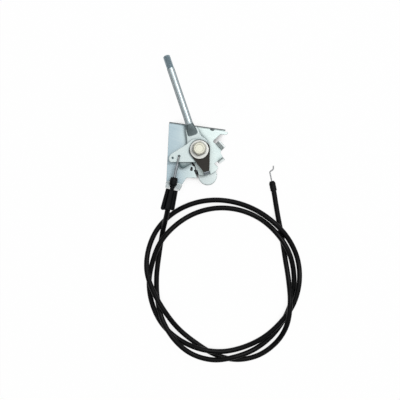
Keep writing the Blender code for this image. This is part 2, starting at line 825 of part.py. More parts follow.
def make_fitting():
    frame = lying_frame(WIRE_HOLE, CABLE_DIRECTION, WIRE_HEIGHT)
    half = BODY_WIDTH / 2
    deep = BODY_HEIGHT / 2
    dome = HEAD_RADIUS
    head = rod(
        "cable fitting",
        (
            (0, YOKE_TO - 1),
            (dome, YOKE_TO - 1),
            (dome, HEAD_FROM + 3.0),
            (dome - 0.35, HEAD_FROM + 1.5),
            (dome - 0.75, HEAD_FROM + 0.5),
            (HEAD_BORE + 0.4, HEAD_FROM),
            (HEAD_BORE, HEAD_FROM + 0.4),
            (HEAD_BORE, HEAD_BORE_TO),
            (0, HEAD_BORE_TO),
        ),
        frame,
        32,
    )

    def make(bm):
        place = Matrix.Translation(Vector((0, 0, (BODY_FROM + BODY_TO) / 2 * MM)))
        scale = Matrix.Diagonal((BODY_WIDTH * MM, BODY_HEIGHT * MM, (BODY_TO - BODY_FROM) * MM, 1.0))
        bmesh.ops.create_cube(bm, size=1.0, matrix=frame @ place @ scale)
        bmesh.ops.bevel(
            bm, geom=bm.edges, offset=1.4 * MM, segments=4, profile=0.5, affect="EDGES"
        )

    body = shape_from("fitting body", make)
    joined(head, [body])
    lean = math.radians(90 - CABLE_TAB_LEAN)
    # The groove follows the leaning tab: a slab with the neck left standing in it.
    tab_at = 27.9 + (WIRE_HEIGHT - PLATE_TOP + SHEET / 2) / math.tan(math.radians(CABLE_TAB_LEAN)) + 1.44
    slab_frame = frame @ Matrix.Translation(Vector((0, 0, tab_at * MM))) @ Matrix.Rotation(lean, 4, "X")
    thick = SHEET / 2 + GAP + 0.1
    slab = box("slab", (-10, -12, -thick), (10, 12, thick), slab_frame)
    neck = rod(
        "neck",
        ((0, BODY_TO), (NECK_RADIUS, BODY_TO), (NECK_RADIUS, HEAD_FROM), (0, HEAD_FROM)),
        frame,
    )
    joined(slab, [neck], "DIFFERENCE")
    socket = CABLE_RADIUS + GAP
    bore = rod(
        "socket",
        ((0, YOKE_TO + 1), (socket, YOKE_TO + 1), (socket, SOCKET_FROM), (0, SOCKET_FROM)),
        frame,
    )
    passage = rod(
        "passage",
        (
            (0, SOCKET_FROM + 0.6),
            (PASSAGE_RADIUS, SOCKET_FROM + 0.6),
            (PASSAGE_RADIUS, HEAD_BORE_TO - 0.6),
            (0, HEAD_BORE_TO - 0.6),
        ),
        frame,
        20,
    )
    trough = box("trough", (-socket, -socket, YOKE_TO), (socket, deep + 3, BODY_TO + 3), frame)
    flare = socket + 0.4
    mouth = box("mouth", (-flare, -deep - 3, TROUGH_FLOOR_TO), (flare, deep + 3, BODY_TO + 3), frame)
    cuts = [slab, bore, passage, trough, mouth]
    for index, x in enumerate((-5.45, -4.1, 4.1, 5.45)):
        cuts.append(
            box(
                f"rib {index}",
                (x - 0.35, deep - RIB_DEPTH, YOKE_TO - 2.0),
                (x + 0.35, deep + 2, BODY_TO - 3.0),
                frame,
            )
        )
    joined(head, cuts, "DIFFERENCE")
    return cleaned(head)


def make_tube():
    frame = lying_frame(WIRE_HOLE, CABLE_DIRECTION, WIRE_HEIGHT)
    return rod(
        "support tube",
        (
            (TUBE_BORE, TUBE_TO),
            (TUBE_RADIUS - 0.3, TUBE_TO),
            (TUBE_RADIUS, TUBE_TO - 0.3),
            (TUBE_RADIUS, TUBE_FROM + 0.3),
            (TUBE_RADIUS - 0.3, TUBE_FROM),
            (TUBE_BORE, TUBE_FROM),
        ),
        frame,
        24,
    )


def make_lever_wire():
    hole = Vector((*WIRE_HOLE, 0.0))
    run = Vector((*CABLE_DIRECTION, 0.0))
    low = hole + Vector((0, 0, CRANK_FROM - 1.3))
    high = hole + Vector((0, 0, WIRE_HEIGHT))
    far = high + run * LEVER_WIRE_TO
    places = [at_pivot(*p) for p in bent_line([low, high, far], WIRE_BEND)]
    return wire("lever wire", places, WIRE_RADIUS)


def far_end():
    """Where the cable stops and the flat direction it points in."""
    line = cable_line()
    last = line[-1]
    before = line[-2]
    heading = Vector((last.x - before.x, last.y - before.y)).normalized()
    return last, heading


def make_cable():
    line = cable_line()
    last, heading = far_end()
    places = [at_pivot(*p) for p in line]
    cable = wire("throttle cable", places, CABLE_RADIUS)
    frame = lying_frame(Vector((last.x, last.y)), heading, last.z)
    bore = rod(
        "liner bore",
        ((0, 2), (FAR_BORE, 2), (FAR_BORE, -FAR_BORE_DEPTH), (0, -FAR_BORE_DEPTH)),
        frame,
        16,
    )
    return joined(cable, [bore], "DIFFERENCE")


def make_ferrule():
    last, heading = far_end()
    frame = lying_frame(Vector((last.x, last.y)), heading, last.z)
    inner = CABLE_RADIUS + GAP
    front = FERRULE_LENGTH - FERRULE_GRIP
    return rod(
        "far ferrule",
        (
            (FAR_BORE, front),
            (FERRULE_RADIUS - 1.1, front),
            (FERRULE_RADIUS, front - 2.4),
            (FERRULE_RADIUS, -FERRULE_GRIP + 0.4),
            (FERRULE_RADIUS - 0.2, -FERRULE_GRIP),
            (inner, -FERRULE_GRIP),
            (inner, GAP),
            (FAR_BORE, GAP),
        ),
        frame,
        32,
    )


def make_far_wire():
    last, heading = far_end()
    front = FERRULE_LENGTH - FERRULE_GRIP
    side = Vector((-heading.y, heading.x))
    flat = Vector((last.x, last.y))
    corners = []
    for along, across in [(-FAR_WIRE_IN - front, 0.0), *Z_BEND]:
        place = flat + heading * (front + along) + side * across
        corners.append(Vector((place.x, place.y, last.z)))
    places = [at_pivot(*p) for p in bent_line(corners, WIRE_BEND)]
    return wire("far wire", places, WIRE_RADIUS)


tidy_scene()
PARTS = new_collection("Throttle control lever with cable")

ZINC = material("bright zinc", (0.74, 0.79, 0.80), 1.0, 0.32)
STEEL = material("plain steel", (0.55, 0.56, 0.57), 1.0, 0.35)
PASSIVATED = material("pale passivated zinc", (0.86, 0.84, 0.74), 1.0, 0.36)
PHOSPHATE = material("dark phosphated steel", (0.035, 0.032, 0.026), 0.6, 0.55)
FIBRE = material("friction fibre", (0.16, 0.11, 0.07), 0.0, 0.9)
SPRING_STEEL = material("spring steel", (0.22, 0.22, 0.23), 1.0, 0.4)
BRONZE = material("sintered bronze", (0.52, 0.35, 0.17), 1.0, 0.5)
NYLON = material("black nylon", (0.012, 0.013, 0.014), 0.0, 0.42)
JACKET = material("black cable jacket", (0.010, 0.010, 0.011), 0.0, 0.35)

LEVER_AXIS = at_pivot(0, 0, BLADE_FROM)
WIRE_AXIS = at_pivot(WIRE_HOLE.x, WIRE_HOLE.y, WIRE_HEIGHT)
FAR_WIRE_AXIS = at_pivot(*far_end()[0])
BUSH_LENGTH = BRAKE_FROM - GAP - DISC_FROM

finished(make_bracket(), "bracket", ZINC)
finished(make_foot(), "mounting_foot", ZINC)
finished(ring("disc", FRICTION_DISC_RADIUS, BUSH_HOLE, DISC_FROM, FRICTION_DISC), "friction_disc", FIBRE)
finished(make_lever(), "lever", ZINC, LEVER_AXIS)
finished(make_crank(), "bell_crank", ZINC, LEVER_AXIS)
finished(ring("bush", BUSH_RADIUS, BOLT_HOLE, DISC_FROM, BUSH_LENGTH), "pivot_bush", BRONZE)
finished(make_brake(), "brake_plate", PHOSPHATE)
finished(ring("washer", WASHER_RADIUS, BOLT_HOLE, WASHER_FROM, WASHER, 0.3), "large_washer", PASSIVATED)
finished(make_bolt(), "pivot_bolt", PASSIVATED)
rear_disc = ring("disc", FRICTION_DISC_RADIUS, BOLT_HOLE, REAR_DISC_FROM, REAR_DISC)
finished(rear_disc, "rear_friction_disc", FIBRE)
finished(ring("rear plate", WASHER_RADIUS, BOLT_HOLE, REAR_PLATE_FROM, REAR_PLATE), "pressure_washer", ZINC)
finished(make_spring("upper spring", UPPER_SPRING_FROM, True), "upper_disc_spring", SPRING_STEEL)
finished(make_spring("lower spring", LOWER_SPRING_FROM, False), "lower_disc_spring", SPRING_STEEL)
finished(make_nut(), "lock_nut", ZINC)
finished(make_fitting(), "cable_fitting", NYLON)
finished(make_tube(), "support_tube", STEEL, WIRE_AXIS)
finished(make_lever_wire(), "lever_wire", STEEL, WIRE_AXIS)
finished(make_cable(), "throttle_cable", JACKET)
finished(make_ferrule(), "far_ferrule", NYLON)
finished(make_far_wire(), "far_wire", STEEL, FAR_WIRE_AXIS)
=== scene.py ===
"""A throttle control lever with its cable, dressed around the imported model.

Metres, +Z up, the bracket's face up and the camera straight above, as in the photograph. Sizes
of the pieces are in millimetres, and flat places are from the pivot bolt, as in the part's source.
"""

import logging
import math
from dataclasses import dataclass
from enum import Enum
from typing import Callable, Optional, Sequence

import bmesh
import bpy
import numpy as np
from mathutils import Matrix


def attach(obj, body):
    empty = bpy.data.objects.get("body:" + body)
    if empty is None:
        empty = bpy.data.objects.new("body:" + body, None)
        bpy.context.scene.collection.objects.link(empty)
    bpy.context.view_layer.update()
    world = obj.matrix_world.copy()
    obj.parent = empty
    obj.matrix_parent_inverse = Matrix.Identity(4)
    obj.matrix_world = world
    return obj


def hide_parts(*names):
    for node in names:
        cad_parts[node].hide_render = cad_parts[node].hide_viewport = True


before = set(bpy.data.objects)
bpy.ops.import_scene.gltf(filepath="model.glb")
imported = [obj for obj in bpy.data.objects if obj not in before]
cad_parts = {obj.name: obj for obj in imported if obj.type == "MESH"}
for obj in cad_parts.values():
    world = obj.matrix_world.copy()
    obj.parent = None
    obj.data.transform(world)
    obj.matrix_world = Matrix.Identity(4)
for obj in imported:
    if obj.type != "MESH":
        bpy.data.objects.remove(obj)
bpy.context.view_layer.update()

LOG = logging.getLogger("throttle_lever")
MM = 0.001
PIVOT = np.array([4.67, -17.46, 0.0])
WIRE_HOLE = (-21.3, -7.6)
WIRE_HEIGHT = 24.95
CABLE_DROP = (-0.2118, -0.9773)
CABLE_RUN = tuple(part / math.hypot(*CABLE_DROP) for part in CABLE_DROP)
BOLT_HOLE = 4.3
UP = (0.0, 0.0, 1.0)
NORTH = (0.0, 1.0, 0.0)

Colour = tuple[float, float, float]
Row = tuple[float, ...]
Socket = bpy.types.NodeSocket
Piece = bpy.types.Object


class Body(str, Enum):
    """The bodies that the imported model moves."""

    BASE = "base"
    LEVER = "lever"
    CONTROL_WIRE = "control_wire"
    CABLE_END = "cable_end_wire"


class Slot(str, Enum):
    """The record's material slots."""

    ZINC = "zinc"
    STEEL = "steel"
    PASSIVATED = "passivated"
    PHOSPHATE = "phosphate"
    FIBRE = "fibre"
    SPRING = "spring"
    BRONZE = "bronze"
    NYLON = "nylon"
    JACKET = "jacket"


def from_pivot(places: np.ndarray) -> np.ndarray:
    """Places in millimetres from the pivot, as metres in the shared frame."""
    return (np.asarray(places, float) + PIVOT) * MM


def unit(vectors: np.ndarray) -> np.ndarray:
    """Vectors brought to length 1."""
    return vectors / np.linalg.norm(vectors, axis=-1, keepdims=True)


def distances(line: np.ndarray) -> np.ndarray:
    """How far along a line each of its points lies."""
    return np.concatenate([[0.0], np.cumsum(np.linalg.norm(np.diff(line, axis=0), axis=1))])


def even_line(line: np.ndarray, spacing: float) -> np.ndarray:
    """The same line with its points at an even spacing."""
    far = distances(line)
    wanted = np.linspace(0.0, far[-1], max(8, round(far[-1] / spacing)))
    return np.stack([np.interp(wanted, far, line[:, k]) for k in range(3)], -1)


def full_turn(sides: int) -> np.ndarray:
    """Angles at even steps round a full turn."""
    return np.linspace(0.0, 2 * math.pi, sides, endpoint=False)


def pole(row: np.ndarray) -> np.ndarray:
    """A row of points that all lie at the middle of another, which closes a surface's end."""
    return row.mean(0, keepdims=True).repeat(len(row), 0)[None]


def powered(wave: np.ndarray, power: object) -> np.ndarray:
    """A wave's size raised to a power, with its own sign."""
    return np.sign(wave) * np.abs(wave) ** power


def thread_wave(along: object, pitch: float, angle: np.ndarray) -> np.ndarray:
    """A thread's depth from 0 to 1 at a place along it and an angle: |2·frac(h/p − a/2π) − 1|."""
    return np.abs(2 * ((along / pitch - angle / (2 * math.pi)) % 1.0) - 1)


def place_along(place: Row, way: Row) -> float:
    """How far along a direction a place in plan lies, in metres in the shared frame."""
    return float(from_pivot((*place, 0.0)) @ np.array(way))


def linked(name: str, data: bpy.types.ID) -> Piece:
    """A new object, linked to the scene."""
    obj = bpy.data.objects.new(name, data)
    bpy.context.scene.collection.objects.link(obj)
    return obj


def vertex_places(obj: Piece) -> np.ndarray:
    """The places of a piece's vertices, in metres."""
    places = np.zeros(3 * len(obj.data.vertices))
    obj.data.vertices.foreach_get("co", places)
    return places.reshape(-1, 3)


def move_vertices(obj: Piece, places: np.ndarray) -> None:
    """Puts a piece's vertices at new places."""
    obj.data.vertices.foreach_set("co", places.reshape(-1))
    obj.data.update()


@dataclass(frozen=True)
class Axis:
    """A straight line to build on: its start, its direction, and the direction that is up."""

    start: Row
    along: Row
    up: Row = UP

    def places(self, across: np.ndarray, over: np.ndarray, along: np.ndarray) -> np.ndarray:
        """Points at start + across·side + over·up + along·direction, from millimetres to metres."""
        direction = unit(np.array(self.along))
        side = unit(np.cross(self.up, direction))
        top = np.cross(direction, side)
        across, over, along = np.broadcast_arrays(across, over, along)
        spread = across[..., None] * side + over[..., None] * top + along[..., None] * direction
        return from_pivot(spread + np.array(self.start))

    def around(self, radius: np.ndarray, angle: np.ndarray, along: np.ndarray) -> np.ndarray:
        """Points at a radius and an angle round the line."""
        return self.places(radius * np.cos(angle), radius * np.sin(angle), along)


PIVOT_AXIS = Axis((0.0, 0.0, 0.0), UP, NORTH)
CABLE_AXIS = Axis((*WIRE_HOLE, WIRE_HEIGHT), (*CABLE_RUN, 0.0))


def grid_quads(rows: int, columns: int) -> np.ndarray:
    """Quads between the neighbours of a grid whose rows close, each from (i, j) to (i + 1, j + 1)."""
    i = np.arange(rows - 1)[:, None] * columns
    j = np.arange(columns)[None, :]
    k = (j + 1) % columns
    corners = np.broadcast_arrays(i + j, i + k, i + columns + k, i + columns + j)
    return np.stack(corners, -1).reshape(-1, 4)


def finished_mesh(obj: Piece, sharp: float = 35.0) -> Piece:
    """Merges doubled points, turns faces outwards, and shades smooth up to an angle in degrees."""
    bm = bmesh.new()
    bm.from_mesh(obj.data)
    bmesh.ops.remove_doubles(bm, verts=bm.verts, dist=2e-7)
    bmesh.ops.recalc_face_normals(bm, faces=bm.faces)
    bm.to_mesh(obj.data)
    bm.free()
    obj.data.shade_smooth()
    obj.data.set_sharp_from_angle(angle=math.radians(sharp))
    return obj


def surface(name: str, points: np.ndarray, ring: bool = False, sharp: float = 35.0) -> Piece:
    """A surface from a grid of points, each row closed on itself.

    Args:
        name: The piece's name.
        points: An array of rows, columns and x, y, z in metres.
        ring: Whether the last row is joined to the first.
        sharp: The angle in degrees from which an edge stays sharp.

    Returns:
        The piece, with a UV map of turns across and metres along.
    """
    if ring:
        points = np.concatenate([points, points[:1]])
    columns = points.shape[1]
    quads = grid_quads(*points.shape[:2])
    mesh = bpy.data.meshes.new(name)
    mesh.from_pydata(points.reshape(-1, 3), [], quads)
    turn = (quads % columns).astype(float)
    turn[(turn == 0) & (turn.max(1, keepdims=True) == columns - 1)] = columns
    uv = np.stack([turn / columns, distances(points.mean(1))[quads // columns]], -1)
    mesh.uv_layers.new(name="UVMap").data.foreach_set("uv", uv.reshape(-1))
    return finished_mesh(linked(name, mesh), sharp)


def soft_rows(rows: Sequence[Row], radius: float, closed: bool, steps: int = 4) -> np.ndarray:
    """A profile whose corners are rounded: each corner c becomes the curve
    (1 − t)²·a + 2t(1 − t)·c + t²·b between the points a and b at the radius from it.

    Args:
        rows: The profile's points.
        radius: How far from a corner its rounding starts.
        closed: Whether the profile closes on itself.
        steps: Pieces in each rounding.

    Returns:
        The rounded profile as an array of points.
    """
    corners = np.asarray(rows, float)
    to_before = np.roll(corners, 1, axis=0) - corners
    to_after = np.roll(corners, -1, axis=0) - corners
    far_before = np.linalg.norm(to_before, axis=1, keepdims=True)
    far_after = np.linalg.norm(to_after, axis=1, keepdims=True)
    back = np.minimum(radius, 0.45 * np.minimum(far_before, far_after))
    first = (corners + to_before / far_before * back)[:, None]
    last = (corners + to_after / far_after * back)[:, None]
    t = np.linspace(0.0, 1.0, steps + 1)[None, :, None]
    curve = (1 - t) ** 2 * first + 2 * t * (1 - t) * corners[:, None] + t**2 * last
    if closed:
        return curve.reshape(-1, corners.shape[1])
    return np.concatenate([corners[:1], curve[1:-1].reshape(-1, corners.shape[1]), corners[-1:]])


def turned(
    name: str, rows: Sequence[Row], axis: Axis = PIVOT_AXIS, softness: float = 0.2, sides: int = 96
) -> Piece:
    """A turned piece: (r·cos a, r·sin a, h) for each r, h of a profile, whose corners are softened,
    and a over a full turn. A profile that starts off the axis is a ring."""
    ring = min(rows[0][0], rows[-1][0]) > 0
    profile = soft_rows(rows, softness, ring)
    return surface(name, axis.around(profile[:, :1], full_turn(sides), profile[:, 1:]), ring)


def swept(name: str, path: np.ndarray, radius: float, across: Row, sides: int = 24) -> Piece:
    """A round wire: path + r·(cos a·side + sin a·over), where side is the path's direction
    crossed with a fixed one. Near both ends r follows a quarter circle, so they close softly.

    Args:
        name: The piece's name.
        path: Points in metres.
        radius: The wire's radius in millimetres.
        across: A direction that the path never takes.
        sides: Steps round the wire.

    Returns:
        The piece.
    """
    heading = unit(np.gradient(path, axis=0))
    side = unit(np.cross(heading, across))
    over = np.cross(side, heading)
    radius = radius * MM
    turn = np.linspace(0.0, math.pi / 2, 5)
    end_size = np.concatenate([[0.0], radius - 0.25 * radius * (1 - np.sin(turn))])
    back = np.concatenate([[0.0], 0.25 * radius * (1 - np.cos(turn))])
    middle = np.zeros(len(path) - 2)
    forward = np.concatenate([back, middle, -back[::-1]])[:, None]
    size = np.concatenate([end_size, middle + radius, end_size[::-1]])[:, None, None]
    station = np.clip(np.arange(len(forward)) - len(back) + 1, 0, len(path) - 1)
    angle = full_turn(sides)[None, :, None]
    ring = np.cos(angle) * side[station][:, None] + np.sin(angle) * over[station][:, None]
    centre = path[station] + heading[station] * forward
    return surface(name, centre[:, None] + size * ring, sharp=50.0)


def bent_path(corners: Sequence[Row], radius: float, spacing: float = 0.4) -> np.ndarray:
    """Straight runs through corners in millimetres, each rounded from a radius off, in metres."""
    return from_pivot(even_line(soft_rows(corners, radius, False, 10), spacing))


def outline_points(rows: Sequence[Row]) -> np.ndarray:
    """An outline with rounded corners: each corner's arc is centre + r·(cos a, sin a) between the
    two straights, and r is cut down where a straight is too short for it.

    Args:
        rows: x, y and corner radius in millimetres.

    Returns:
        The outline's points.
    """
    corners = np.asarray(rows, float)
    places = corners[:, :2]
    pieces = []
    for index, (place, radius) in enumerate(zip(places, corners[:, 2])):
        to_before = places[index - 1] - place
        to_after = places[(index + 1) % len(places)] - place
        far_before, far_after = np.linalg.norm(to_before), np.linalg.norm(to_after)
        to_before, to_after = to_before / far_before, to_after / far_after
        half = math.acos(float(np.clip(to_before @ to_after, -1, 1))) / 2
        back = min(radius / math.tan(half), 0.45 * far_before, 0.45 * far_after)
        if radius <= 0 or half > math.radians(78):
            pieces.append(place[None])
            continue
        used = back * math.tan(half)
        middle = place + unit(to_before + to_after) * used / math.sin(half)
        first = place + to_before * back - middle
        last = place + to_after * back - middle
        start = math.atan2(first[1], first[0])
        turn = (math.atan2(last[1], last[0]) - start + math.pi) % (2 * math.pi) - math.pi
        angle = start + np.linspace(0.0, turn, max(3, math.ceil(abs(turn) / math.radians(5))))
        pieces.append(middle + used * np.stack([np.cos(angle), np.sin(angle)], -1))
    return np.concatenate(pieces)


def circle_points(x: float, y: float, radius: float, sides: int = 64) -> np.ndarray:
    """A circle's points, clockwise, so that as a hole its rim is rounded into the plate."""
    angle = -full_turn(sides)
    return np.array([x, y]) + radius * np.stack([np.cos(angle), np.sin(angle)], -1)


def plate(
    name: str, outline: np.ndarray, holes: Sequence[np.ndarray], bottom: float, thickness: float,
    edge: float = 0.3,
) -> Piece:
    """A flat plate with rounded edges. Its rims are the loops carried along a profile: inset
    e·(1 − sin a) at a height e·(1 − cos a) from each face, and both faces fill the inner loops.

    Args:
        name: The piece's name.
        outline: The outer loop in millimetres from the pivot.
        holes: Loops of the holes, running the other way round.
        bottom: Height of the lower face.
        thickness: The plate's thickness.
        edge: The edges' rounding.

    Returns:
        The piece.
    """
    turn = np.linspace(0.0, math.pi / 2, 5)
    inset = edge * (1 - np.sin(np.concatenate([turn, turn[::-1]])))
    lift = edge * (1 - np.cos(turn))
    rise = np.concatenate([lift, thickness - lift[::-1]])
    mesh = bpy.data.meshes.new(name)
    bm = bmesh.new()
    lower, upper = [], []
    after = np.roll(outline, -1, axis=0)
    leftwards = np.sum(outline[:, 0] * after[:, 1] - outline[:, 1] * after[:, 0]) > 0
    for loop in [outline if leftwards else outline[::-1], *holes]:
        ahead = unit(np.roll(loop, -1, axis=0) - loop)
        mean = unit(ahead + np.roll(ahead, 1, axis=0))
        inwards = np.stack([-mean[:, 1], mean[:, 0]], -1)
        flat = loop[None] + inwards[None] * inset[:, None, None]
        height = np.broadcast_to((bottom + rise)[:, None, None], (*flat.shape[:2], 1))
        points = from_pivot(np.concatenate([flat, height], -1))
        verts = [bm.verts.new(place) for place in points.reshape(-1, 3)]
        for quad in grid_quads(len(rise), len(loop)):
            bm.faces.new([verts[corner] for corner in quad])
        lower.append(verts[: len(loop)])
        upper.append(verts[-len(loop) :])
    for loops in (lower, upper):
        rim = [bm.edges.get((a, b)) for loop in loops for a, b in zip(loop, loop[1:] + loop[:1])]
        bmesh.ops.triangle_fill(bm, use_beauty=True, use_dissolve=False, edges=rim)
    bm.to_mesh(mesh)
    bm.free()
    return evened(finished_mesh(linked(name, mesh), 50.0))


def evened(obj: Piece) -> Piece:
    """Keeps large flat faces flat in the shading, whatever rounds their edges."""
    weigh = obj.modifiers.new("Flat faces", "WEIGHTED_NORMAL")
    weigh.keep_sharp = True
    return obj


def softened_copy(node: str, name: str, edge: float) -> Piece:
    """A copy of a CAD node, which it replaces: welded, with whole flat faces and rounded edges.

    Args:
        node: The CAD node.
        name: The piece's name.
        edge: The edges' rounding in millimetres.

    Returns:
        The piece.
    """
    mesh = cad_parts[node].data.copy()
    mesh.name = name
    mesh.materials.clear()
    bm = bmesh.new()
    bm.from_mesh(mesh)
    bmesh.ops.remove_doubles(bm, verts=bm.verts, dist=2e-6)
    bmesh.ops.dissolve_limit(bm, angle_limit=math.radians(1.0), verts=bm.verts, edges=bm.edges)
    bm.to_mesh(mesh)
    bm.free()
    obj = linked(name, mesh)
    mesh.shade_smooth()
    rounding = obj.modifiers.new("Edges", "BEVEL")
    rounding.width = edge * MM
    rounding.segments = 3
    rounding.limit_method = "ANGLE"
    rounding.angle_limit = math.radians(38)
    rounding.miter_outer = "MITER_ARC"
    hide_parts(node)
    return evened(obj)


class Graph:
    """A node tree with short calls to add and join nodes."""

    def __init__(self, tree: bpy.types.NodeTree) -> None:
        """Keeps the tree and clears it."""
        self.tree = tree
        tree.nodes.clear()

    def add(self, kind: str, inputs: Optional[dict] = None, **settings: object) -> bpy.types.Node:
        """Adds a node, sets its properties, and sets or links its inputs.

        Args:
            kind: The node's type.
            inputs: Values or output sockets by input name or number.
            settings: The node's own properties.

        Returns:
            The node.
        """
        node = self.tree.nodes.new(kind)
        for key, value in settings.items():
            setattr(node, key, value)
        for key, value in (inputs or {}).items():
            if isinstance(value, Socket):
                self.tree.links.new(value, node.inputs[key])
            else:
                node.inputs[key].default_value = value
        return node

    def place(self) -> Socket:
        """The place in object space."""
        return self.add("ShaderNodeTexCoord").outputs["Object"]

    def height(self, vector: Socket) -> Socket:
        """The upward part of a vector."""
        return self.add("ShaderNodeSeparateXYZ", {0: vector}).outputs[2]

    def normal(self) -> Socket:
        """The direction that the surface faces."""
        return self.add("ShaderNodeNewGeometry").outputs["Normal"]

    def noise(self, place: Socket, scale: object, detail: float) -> Socket:
        """Noise at a place."""
        return self.add("ShaderNodeTexNoise", {"Vector": place, "Scale": scale, "Detail": detail}).outputs[0]

    def ramp(
        self, value: Socket, low: object, high: object, to: Row = (0.0, 1.0), shape: str = "SMOOTHSTEP"
    ) -> Socket:
        """A value from low to high, brought to another range."""
        values = dict(enumerate((value, low, high, *to)))
        return self.add("ShaderNodeMapRange", values, interpolation_type=shape).outputs[0]

    def mixed(self, share: object, first: object, second: object) -> Socket:
        """A colour between two, by share."""
        colours = [(*c, 1.0) if isinstance(c, tuple) else c for c in (first, second)]
        node = self.add("ShaderNodeMix", {0: share, 6: colours[0], 7: colours[1]}, data_type="RGBA")
        return node.outputs[2]

    def laid(self, colour: object, mask: Socket, share: object, tone: Colour) -> Socket:
        """A colour with a tone laid over it where a mask says, at a share."""
        return self.mixed(self.math("MULTIPLY", mask, share), colour, tone)

    def math(self, operation: str, *values: object) -> Socket:
        """The outcome of a Math node."""
        return self.add("ShaderNodeMath", dict(enumerate(values)), operation=operation).outputs[0]

    def vector(self, operation: str, first: object, second: object) -> Socket:
        """The outcome of a Vector Math node: a vector from MULTIPLY, and a number from the others."""
        node = self.add("ShaderNodeVectorMath", {0: first, 1: second}, operation=operation)
        return node.outputs[0 if operation == "MULTIPLY" else "Value"]

    def effect(self, name: str, **inputs: float) -> Socket:
        """A shared effect, with values by input name; its group is built the first time."""
        tree = bpy.data.node_groups.get(name) or EFFECTS[name].build(name)
        return self.add("ShaderNodeGroup", inputs, node_tree=tree).outputs[0]

    def shade(self, relief: tuple[Socket, float, float], inputs: dict) -> None:
        """Closes a material with one shader and a bump of a height, strength and distance."""
        bump = self.add("ShaderNodeBump", dict(zip(("Height", "Strength", "Distance"), relief)))
        shader = self.add("ShaderNodeBsdfPrincipled", {**inputs, "Normal": bump.outputs[0]})
        self.add("ShaderNodeOutputMaterial", {0: shader.outputs[0]})


def new_material(name: str) -> tuple[bpy.types.Material, Graph]:
    """A material and its empty graph."""
    made = bpy.data.materials.new(name)
    made.use_nodes = True
    return made, Graph(made.node_tree)


@dataclass(frozen=True)
class Effect:
    """A shared node group: its output, its inputs with their defaults, and what fills it."""

    output: str
    inputs: dict[str, float]
    fill: Callable[[Graph, Sequence[Socket]], Socket]

    def build(self, name: str) -> bpy.types.NodeTree:
        """The group."""
        tree = bpy.data.node_groups.new(name, "ShaderNodeTree")
        for key, value in self.inputs.items():
            given = tree.interface.new_socket(key, in_out="INPUT", socket_type="NodeSocketFloat")
            given.default_value = value
        tree.interface.new_socket(self.output, in_out="OUTPUT", socket_type="NodeSocketFloat")
        graph = Graph(tree)
        graph.add("NodeGroupOutput", {0: self.fill(graph, graph.add("NodeGroupInput").outputs)})
        return tree


def soft_patches(graph: Graph, given: Sequence[Socket]) -> Socket:
    """Soft patches: noise in object space, spread about a half and kept from 0 to 1."""
    off = graph.math("SUBTRACT", graph.noise(graph.place(), given[0], 4.0), 0.5)
    spread = graph.math("MULTIPLY_ADD", off, given[1], 0.5)
    return graph.math("MINIMUM", graph.math("MAXIMUM", spread, 0.0), 1.0)


def drawn_marks(graph: Graph, given: Sequence[Socket]) -> Socket:
    """Fine drawn marks: noise squeezed along one direction of object space, turned by an angle."""
    angle = graph.add("ShaderNodeCombineXYZ", {2: given[2]}).outputs[0]
    inputs = {0: graph.place(), 4: angle}
    place = graph.add("ShaderNodeVectorRotate", inputs, rotation_type="EULER_XYZ").outputs[0]
    squeeze = graph.add("ShaderNodeCombineXYZ", {0: given[1], 1: 1.0, 2: 1.0}).outputs[0]
    return graph.noise(graph.vector("MULTIPLY", place, squeeze), given[0], 3.0)


def worn_edges_and_rim_shade(graph: Graph, given: Sequence[Socket]) -> Socket:
    """Edges, for wear and for a band of painted shade: one minus how far the normal agrees with one rounded
    over a radius.
    """
    rounded = graph.add("ShaderNodeBevel", {0: given[0]}, samples=4).outputs[0]
    agree = graph.vector("DOT_PRODUCT", rounded, graph.normal())
    return graph.ramp(graph.math("SUBTRACT", 1.0, agree), given[1], given[2], shape="LINEAR")


def sheared_and_shaded_sides(graph: Graph, given: Sequence[Socket]) -> Socket:
    """Upright sides, for sheared edges and painted shade: faces that stand upright in a plate lying flat,
    from 0 on its face to 1.
    """
    return graph.ramp(graph.math("ABSOLUTE", graph.height(graph.normal())), given[0], given[1])


def painted_corner_shade(graph: Graph, given: Sequence[Socket]) -> Socket:
    """Painted shade beside a neighbour: how much of the space over a point is taken, within a distance."""
    space = graph.add("ShaderNodeAmbientOcclusion", {"Distance": given[0]}, samples=8).outputs["AO"]
    return graph.ramp(space, given[1], given[2])


EFFECTS = {
    "Soft patches": Effect("Mask", {"Scale": 60.0, "Contrast": 0.5}, soft_patches),
    "Drawn marks": Effect("Height", {"Scale": 900.0, "Stretch": 0.04, "Angle": 0.0}, drawn_marks),
    "Worn edges and rim shade": Effect("Mask", {"Radius": 0.0006, "Low": 0.02, "High": 0.2}, worn_edges_and_rim_shade),
    "Sheared and shaded sides": Effect("Mask", {"From": 0.75, "To": 0.25}, sheared_and_shaded_sides),
    "Painted corner shade": Effect("Mask", {"Distance": 0.004, "Open": 0.95, "Closed": 0.45}, painted_corner_shade),
}


